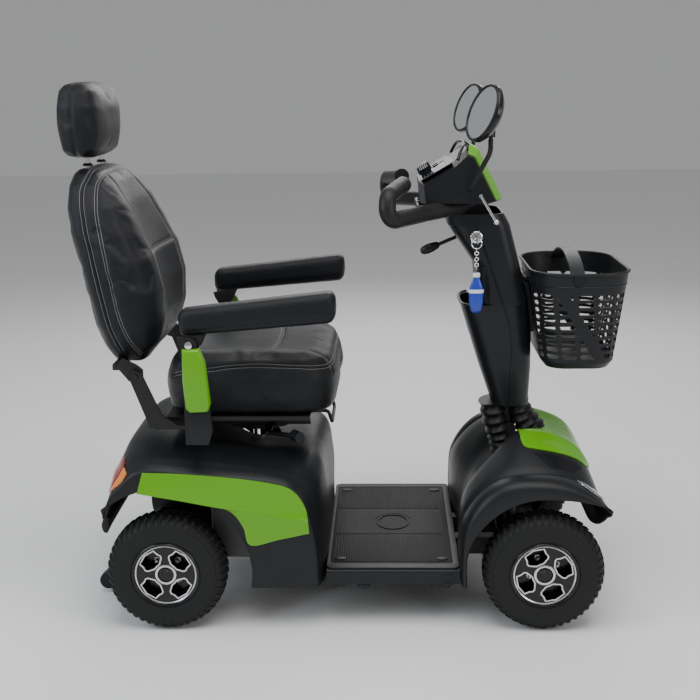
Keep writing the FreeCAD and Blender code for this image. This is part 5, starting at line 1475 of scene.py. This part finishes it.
# %% [markdown]
# ## Floor
# The deck carries a rubber mat in a raised frame: fine ribs from side to side, broken by two smooth bands and by a
# plain oval ring at the middle, with an oblong plug near each corner. The sill below has a square clip and two feet.
# %% Mat
mat_low, mat_high = (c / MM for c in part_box("floor_mat"))
RIB_STEP, RIB_WIDE, RIB_TALL = 5.6, 2.8, 1.8
RING_X, RING_Y, RING_A, RING_B = 95.0, 0.0, 38.0, 46.0
BANDS = [(-226, -86), (-72, 72), (86, 226)]
mat = slab("floor_mat_base", (mat_low.x, mat_low.y, mat_low.z), (mat_high.x, mat_high.y, mat_high.z - 0.6), 0.5)
settle(mat, "rubber", "chassis", ["floor_mat"])
top = mat_high.z - 0.8
count = int((mat_high.x - mat_low.x - 16) / RIB_STEP)
outer_rib = slab("rib", (mat_low.x + 8, BANDS[0][0], top), (mat_low.x + 8 + RIB_WIDE, BANDS[0][1], top + RIB_TALL), 0.4)
outer = rows_of(outer_rib, "outer_ribs", "rubber", count, 2, (RIB_STEP, 0, 0), (0, BANDS[2][0] - BANDS[0][0], 0))
middle_ribs = []
for k in range(count):
    x = mat_low.x + 8 + k * RIB_STEP
    reach = 1 - ((x + RIB_WIDE / 2 - RING_X) / (RING_A + 6)) ** 2
    gap = (RING_B + 6) * math.sqrt(reach) if reach > 0 else 0
    spans = [(BANDS[1][0], RING_Y - gap), (RING_Y + gap, BANDS[1][1])] if gap else [BANDS[1]]
    middle_ribs += [slab("rib", (x, a, top), (x + RIB_WIDE, b, top + RIB_TALL)) for a, b in spans if b - a > 3]
ribs = joined("floor_mat_ribs", [outer, *middle_ribs], 30)
settle(ribs, "rubber", "chassis")
ring_loops = [[(RING_X + (RING_A + d) * math.cos(t), RING_Y + (RING_B + d) * math.sin(t))
               for t in (2 * math.pi * k / 64 for k in range(64))] for d in (0, -4)]
oval = plate("floor_mat_ring", ring_loops, 1.6, Matrix.Translation((0, 0, (top + 1.0) * MM)), bevel=0.3)
settle(oval, "rubber", "chassis")
plugs = []
for x in (mat_low.x + 22, mat_high.x - 22):
    for y in (-212, 212):
        plugs.append(loft("plug", [level_ring((x, y, top + h), a, b, 2.6, 32)
                                   for h, a, b in ((0, 12, 8), (2.4, 12, 8), (3.2, 10.5, 6.5))], sharp=35))
settle(joined("floor_mat_plugs", plugs, 35), "satin", "chassis")
frame_loops = [rectangle(mat_low.x - 6, mat_low.y - 22, mat_high.x + 13, mat_high.y + 22, 14),
               rectangle(mat_low.x - 0.5, mat_low.y - 0.5, mat_high.x + 0.5, mat_high.y + 0.5, 8)]
rim = plate("floor_rim", frame_loops, 2.4, Matrix.Translation((0, 0, (mat_low.z + 1.4) * MM)), bevel=0.8)
settle(rim, "moulded", "chassis")
clip_loops = [rectangle(200, 98, 222, 120, 3), rectangle(203, 101, 219, 117, 2)]
clip = plate("sill_clip", clip_loops, 2.4, side_on(-266.4, -1), bevel=0.5)
feet = [lathe("foot", [(0.01, 6), (15, 6), (15, 0), (12, -5), (0.01, -6)], (x, y, 84), (0, 0, 1), 32)
        for x in (30, 205) for y in (-235, 235)]
settle(joined("sill_clip_and_feet", [clip, *feet]), "satin", "chassis")
print("mat with", count, "ribs in each band")

# %% [markdown]
# ## Tiller
# Two ribbed rubber boots close the gap between the body and the tilting tiller, one round the column and a wider one
# ahead of it.
# %% Boots
def bellows(name, path, feet, ribs):
    """A folded boot along a path; feet gives half its length and width at the start and at the end."""
    centres = spline(path, ribs * 8 + 1)
    rings = []
    for k, centre in enumerate(centres):
        t = k / (len(centres) - 1)
        ahead = (centres[min(k + 1, len(centres) - 1)] - centres[max(k - 1, 0)]).normalized()
        across = Vector((0, 1, 0))
        first = across.cross(ahead).normalized()
        fold = 1 - 0.16 * (0.5 - 0.5 * math.cos(2 * math.pi * k / 8)) ** 0.7
        (a0, b0), (a1, b1) = feet
        rings.append(round_ring(centre, (a0 + (a1 - a0) * t) * fold, (b0 + (b1 - b0) * t) * fold, first, across,
                                2.2, 48))
    return loft(name, rings, sharp=60)


rear_boot = bellows("tiller_boot_rear", [(347, 0, 318), (342, 0, 350), (330, 0, 390), (322, 0, 436)],
                    ((26, 38), (30, 44)), 6)
front_boot = bellows("tiller_boot_front", [(424, 0, 352), (408, 0, 378), (392, 0, 404), (384, 0, 436)],
                     ((36, 42), (24, 40)), 5)
for boot, stands_for in ((rear_boot, ["tiller_bellows"]), (front_boot, [])):
    boot.data.materials.clear()
    boot.data.materials.append(FINISHES["boot"])
    if stands_for:
        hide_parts(*stands_for)
    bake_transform(boot)
print("boots done")

# %% [markdown]
# ### Column details
# A parting line runs down each side of the column, where its two covers meet, and a rolled lip edges the map pocket.
# The key hangs a chain and a float in blue and white. The tilt lever and the brake lever reach out to the rider.
# %% Column details
COVER_SEAM = [(392, 432), (394, 520), (392, 607), (372, 672), (342, 756), (312, 847), (300, 868)]
COVER_HALF = [52, 66, 80, 90, 93, 94, 93]
seams = []
for side in (-1, 1):
    path = [(x - 34, side * (half - 1.2), z) for (x, z), half in zip(COVER_SEAM, COVER_HALF)]
    seams.append(sweep("seam", path, 1.3, 8))
settle(joined("tiller_cover_seams", seams), "gloss_black", "tiller")
lip = sweep("pocket_lip", [(268, -84, 674), (252, -76, 673), (246, -40, 672), (246, 40, 672), (252, 76, 673),
                           (268, 84, 674)], 3.0, 12)
settle(lip, "satin", "tiller")

LEVER_ROOT, LEVER_TIP = Vector((262, 0, 822)), Vector((172, 0, 784))
reach = (LEVER_TIP - LEVER_ROOT).normalized()
GRIP = [(0.01, 0), (6, 0), (8.6, 6), (10.8, 18), (11, 28), (9, 38), (5, 43), (0.01, 44)]
grip = lathe("grip", GRIP, LEVER_TIP - reach * 30, reach, 32)
rod = sweep("rod", [LEVER_ROOT, LEVER_TIP - reach * 26], 4.2, 16, smooth=False)
settle(joined("tilt_lever_grip", [grip, rod]), "satin", "tilt_lever", ["tilt_lever"])

KEY = Vector((276, -104, 823))


def hoop(name, centre, radius, thick, first, other):
    """A closed wire ring."""
    path = [Vector(centre) + Vector(first) * radius * math.cos(t) + Vector(other) * radius * math.sin(t)
            for t in (2 * math.pi * k / 20 for k in range(20))]
    return sweep(name, path, thick, 10, closed=True)


links = [hoop("key_ring", KEY + Vector((0, 0, -12)), 11, 1.0, (1, 0, 0), (0, 0, 1))]
for k in range(7):
    flat = (1, 0, 0) if k % 2 else (0, 1, 0)
    links.append(hoop("link", KEY + Vector((0, 0, -27 - k * 6.2)), 4.0, 0.9, flat, (0, 0, 1)))
settle(joined("key_chain", links), "chrome", "key_tag", ["key_tag"])
FLOAT = [(0.01, -42), (6, -41), (12, -34), (15, -18), (15.6, 0), (14, 16), (9, 30), (6, 36), (6, 44), (0.01, 45)]
FLOAT_X, FLOAT_Y, FLOAT_FLATNESS = 276, -104, 0.42
BAND = [(15.8, 4), (16.4, 2), (16.4, -2), (15.8, -4), (14, 0)]
COLLAR = [(6.2, 0), (8, 1), (8, 9), (6.2, 10)]
body, band, collar = (lathe("key_float" + part, profile, (FLOAT_X, FLOAT_Y, z), (0, 0, 1), count)
                      for part, profile, z, count in (("", FLOAT, 701, 40), ("_band", BAND, 708, 40),
                                                      ("_collar", COLLAR, 738, 32)))
for piece in (body, band, collar):
    for vertex in piece.data.vertices:
        vertex.co.y = (FLOAT_Y + (vertex.co.y / MM - FLOAT_Y) * FLOAT_FLATNESS) * MM
settle(body, "blue", "key_tag")
settle(joined("key_float_bands", [band, collar]), "white", "key_tag")
lock = lathe("lock_ring", [(8, 0), (13, 0), (13, 2), (11, 3.4), (8, 3.4)], (276, -92, 823), (0, -1, 0), 40)
settle(lock, "chrome", "tiller")
print("column details done")

# %% [markdown]
# ### Console
# The console's sloping face has a dark panel with a glossy window in it, a row of green lights below the window and
# a ring of marks round the speed knob. The knob has flutes and a pointer, and a rolled visor runs round the top.
# %% Console face
FACE_FOOT, FACE_HEAD = Vector((153, 0, 943)), Vector((226, 0, 985))
along = (FACE_HEAD - FACE_FOOT).normalized()
normal = Vector((-along.z, 0, along.x))
FACE = Matrix(((0, along.x, normal.x, FACE_FOOT.x * MM), (1, 0, 0, 0), (0, along.z, normal.z, FACE_FOOT.z * MM),
               (0, 0, 0, 1)))


def on_face(across, up, lift):
    """A point on the sloping face: across the console, up the slope, and off it."""
    return Vector((0, across, 0)) + FACE_FOOT + along * up + normal * lift


def face_plate(name, loops, thick, lift, bevel=0.4):
    return plate(name, loops, thick, Matrix.Translation(normal * lift * MM) @ FACE, bevel=bevel)


panel = face_plate("console_panel", [rectangle(-118, 5, 118, 79, 9), rectangle(-34, 26, 30, 68, 5)], 1.6, 1.0)
settle(panel, "satin", "tiller")
window = face_plate("console_window", [rectangle(-33, 27, 29, 67, 4)], 1.0, 0.6)
settle(window, "gloss_black", "tiller")
DIAL_ACROSS, DIAL_UP = -60, 22
DIAL_SWEEP, DIAL_STEPS = 260, 12
marks = []
for k in range(DIAL_STEPS + 1):
    t = math.radians(-DIAL_SWEEP / 2 + k * DIAL_SWEEP / DIAL_STEPS)
    out = Vector((math.sin(t), math.cos(t)))
    foot, head = out * 19.5, out * (25 if k % 3 == 0 else 22.5)
    ends = [on_face(DIAL_ACROSS + end.x, DIAL_UP + end.y, 2.0) for end in (foot, head)]
    marks.append(sweep("mark", ends, 0.55, 6, smooth=False))
settle(joined("speed_dial_marks", marks), "white", "tiller")
lamps = [lathe("tell_tale", [(0.01, 0), (2.2, 0), (1.6, 1.2), (0.01, 1.5)], on_face(-26 + k * 9, 18, 1.6), normal, 16)
         for k in range(5)]
settle(joined("battery_gauge_lights", lamps), "green", "tiller")
pointer = sweep("pointer", [on_face(DIAL_ACROSS, DIAL_UP + up, 27.6) for up in (2, 11)], 0.9, 8, smooth=False)
settle(pointer, "white", "speed_knob").name = "speed_knob_pointer"
flute = sweep("flute", [on_face(DIAL_ACROSS, DIAL_UP + up, lift) for up, lift in ((14.2, 8), (13.4, 24))],
              1.1, 6, smooth=False)
knob_ribs = ring_of(flute, "speed_knob_flutes", "satin", 18, on_face(DIAL_ACROSS, DIAL_UP, 0), normal)
settle(knob_ribs, "satin", "speed_knob")
VISOR_LINE = mirrored([(232, -126, 990), (240, -112, 1010), (248, -80, 1019), (252, 0, 1022)])
settle(sweep("console_visor", VISOR_LINE, 3.4, 12), "satin", "tiller")
print("console done")

# %% [markdown]
# ### Mirrors
# Each round mirror is silvered glass set in a thin dark rim on the front of its shell.
# %% Mirror glass
MIRROR_PIN, MIRROR_MIDDLE = Vector((292, 215, 0)), Vector((282, 215, 1085))
MIRROR_TURN, MIRROR_LEAN = math.radians(22), math.radians(20)
for side in (-1, 1):
    tag = "left" if side > 0 else "right"
    pin = Vector((MIRROR_PIN.x, side * MIRROR_PIN.y, 0)) * MM
    middle = Vector((MIRROR_MIDDLE.x, side * MIRROR_MIDDLE.y, MIRROR_MIDDLE.z)) * MM
    turn = (Matrix.Translation(pin) @ Matrix.Rotation(MIRROR_TURN, 4, "Z") @ Matrix.Translation(-pin)
            @ Matrix.Translation(middle) @ Matrix.Rotation(MIRROR_LEAN, 4, "Y"))
    glass = lathe("mirror_glass_" + tag, [(0.01, 0), (53.4, 0), (53.4, 1.2), (30, 1.9), (0.01, 2.2)], (-9.6, 0, 0),
                  (-1, 0, 0), 72)
    bezel = lathe("mirror_rim_" + tag, [(52.6, 0), (58.2, 0), (58.6, 1.4), (57, 3.0), (54, 3.0), (52.6, 1.6)],
                  (-9.8, 0, 0), (-1, 0, 0), 72)
    for piece, look in ((glass, "mirror"), (bezel, "satin")):
        piece.data.transform(turn)
        settle(piece, look, "mirror_" + tag)
print("mirrors done")

# %% [markdown]
# ## Basket
# The basket's wall is pierced by rows of level slots in columns, with a plain band under the rim, another round the
# foot and a slanting one across each side. The wall is drawn as a fine grid of cells, and the cells in a slot are
# simply left out before the wall is thickened.
# %% Basket wall
WALL_SECTIONS = [(540, 430, 566, 128, 40), (554, 419, 577, 140, 52), (752, 393, 604, 165, 78)]
AROUND, UPWARD = 288, 66


def wall_ring(z):
    """The wall's outline at a height, evenly divided, starting behind the middle of the back."""
    for low_row, high_row in zip(WALL_SECTIONS, WALL_SECTIONS[1:]):
        if low_row[0] <= z <= high_row[0]:
            t = (z - low_row[0]) / (high_row[0] - low_row[0])
            _, x0, x1, half, radius = (a + (b - a) * t for a, b in zip(low_row, high_row))
    loop = [Vector((x, y, z)) for x, y in rectangle(x0, -half, x1, half, radius, 14)]
    lengths = [0.0]
    for a, b in zip(loop, loop[1:] + loop[:1]):
        lengths.append(lengths[-1] + (b - a).length)
    result = []
    i = 0
    for k in range(AROUND):
        want = lengths[-1] * k / AROUND
        while lengths[i + 1] < want:
            i += 1
        t = (want - lengths[i]) / max(1e-6, lengths[i + 1] - lengths[i])
        result.append(loop[i].lerp(loop[(i + 1) % len(loop)], t))
    return result


COLUMN, POST, SLOT_PITCH, SLOT_TALL = 14, 2, 5, 3


def in_slot(column, row, place):
    """Whether a cell of the wall is part of a slot."""
    if not 9 <= row < 9 + SLOT_PITCH * 9 or place.x < 425 and abs(place.y) < 60:
        return False
    if abs(place.y) > 90 and abs((place.x - 455) / 3.2 + (row - 9) * 0.62 - 26) < 4:
        return False
    at, height = column % COLUMN, (row - 9) % SLOT_PITCH
    if at < POST or height >= SLOT_TALL:
        return False
    return not (at in (POST, COLUMN - 1) and height != 1)


heights = [540 + 14 * k / 6 for k in range(6)] + [554 + 198 * k / (UPWARD - 6) for k in range(UPWARD - 5)]
wall = [wall_ring(z) for z in heights]
points = [p for ring in wall for p in ring]
faces = []
for row in range(len(wall) - 1):
    for column in range(AROUND):
        nxt = (column + 1) % AROUND
        if not in_slot(column, row, wall[row][column]):
            faces.append((row * AROUND + column, row * AROUND + nxt, (row + 1) * AROUND + nxt,
                          (row + 1) * AROUND + column))
faces.append(tuple(reversed(range(AROUND))))
basket = piece_from("basket_wall", mesh_of("basket_wall", points, faces, merge=0.01), 35)
basket = finish_edges(basket, thickness=3.0)
settle(basket, "moulded", "basket", ["basket"])
rim_path = [p + Vector((0, 0, -1)) for p in wall_ring(751.9)[::4]]
ledge_path = [p for p in wall_ring(724)[::4]]
bosses = [lathe("boss", [(0.01, 0), (13, 0), (12, 3), (0.01, 3.4)], (487, s * 163.6, 741), (0, s, 0), 32)
          for s in (-1, 1)]
hook = slab("hook", (388, -36, 719), (402, 36, 726), 1.2)
trim = joined("basket_rim", [sweep("rim", rim_path, 3.6, 12, closed=True), sweep("ledge", ledge_path, 1.8, 8,
                                                                             closed=True), *bosses, hook])
settle(trim, "moulded", "basket")
print("basket wall", len(basket.data.polygons), "faces")

# %% [markdown]
# ## Finishing the frame
# What stays visible of the frame gets the finish of its record slot.
# %% Finish the frame's own parts
SLOT_FINISH = {
    "frame_steel": "steel", "body_black": "moulded", "tiller_black": "satin", "panel_green": "green",
    "tyre_rubber": "tyre", "rim_alloy": "silver", "leatherette": "leather", "foam_grip": "foam",
    "mat_rubber": "rubber", "boot_rubber": "boot", "lamp_red": "red_lens", "lamp_clear": "clear_lens",
    "battery_case": "battery", "drive_metal": "cast", "bright_steel": "chrome", "control_black": "satin",
    "release_red": "red", "key_blade": "zinc", "tag_blue": "blue", "mirror_shell": "gloss_black",
    "basket_plastic": "moulded", "rod_steel": "zinc",
}
for part in frame["record"]["subparts"]:
    node = frame["nodes"][part["node"]]
    node.data.materials.clear()
    node.data.materials.append(FINISHES[SLOT_FINISH[part["material_slot"]]])
    node.data.polygons.foreach_set("use_smooth", [True] * len(node.data.polygons))
    node.data.set_sharp_from_angle(angle=math.radians(28))
shown = [n for n, o in frame["nodes"].items() if not o.hide_render]
print(len(shown), "frame parts shown:", " ".join(sorted(shown)))
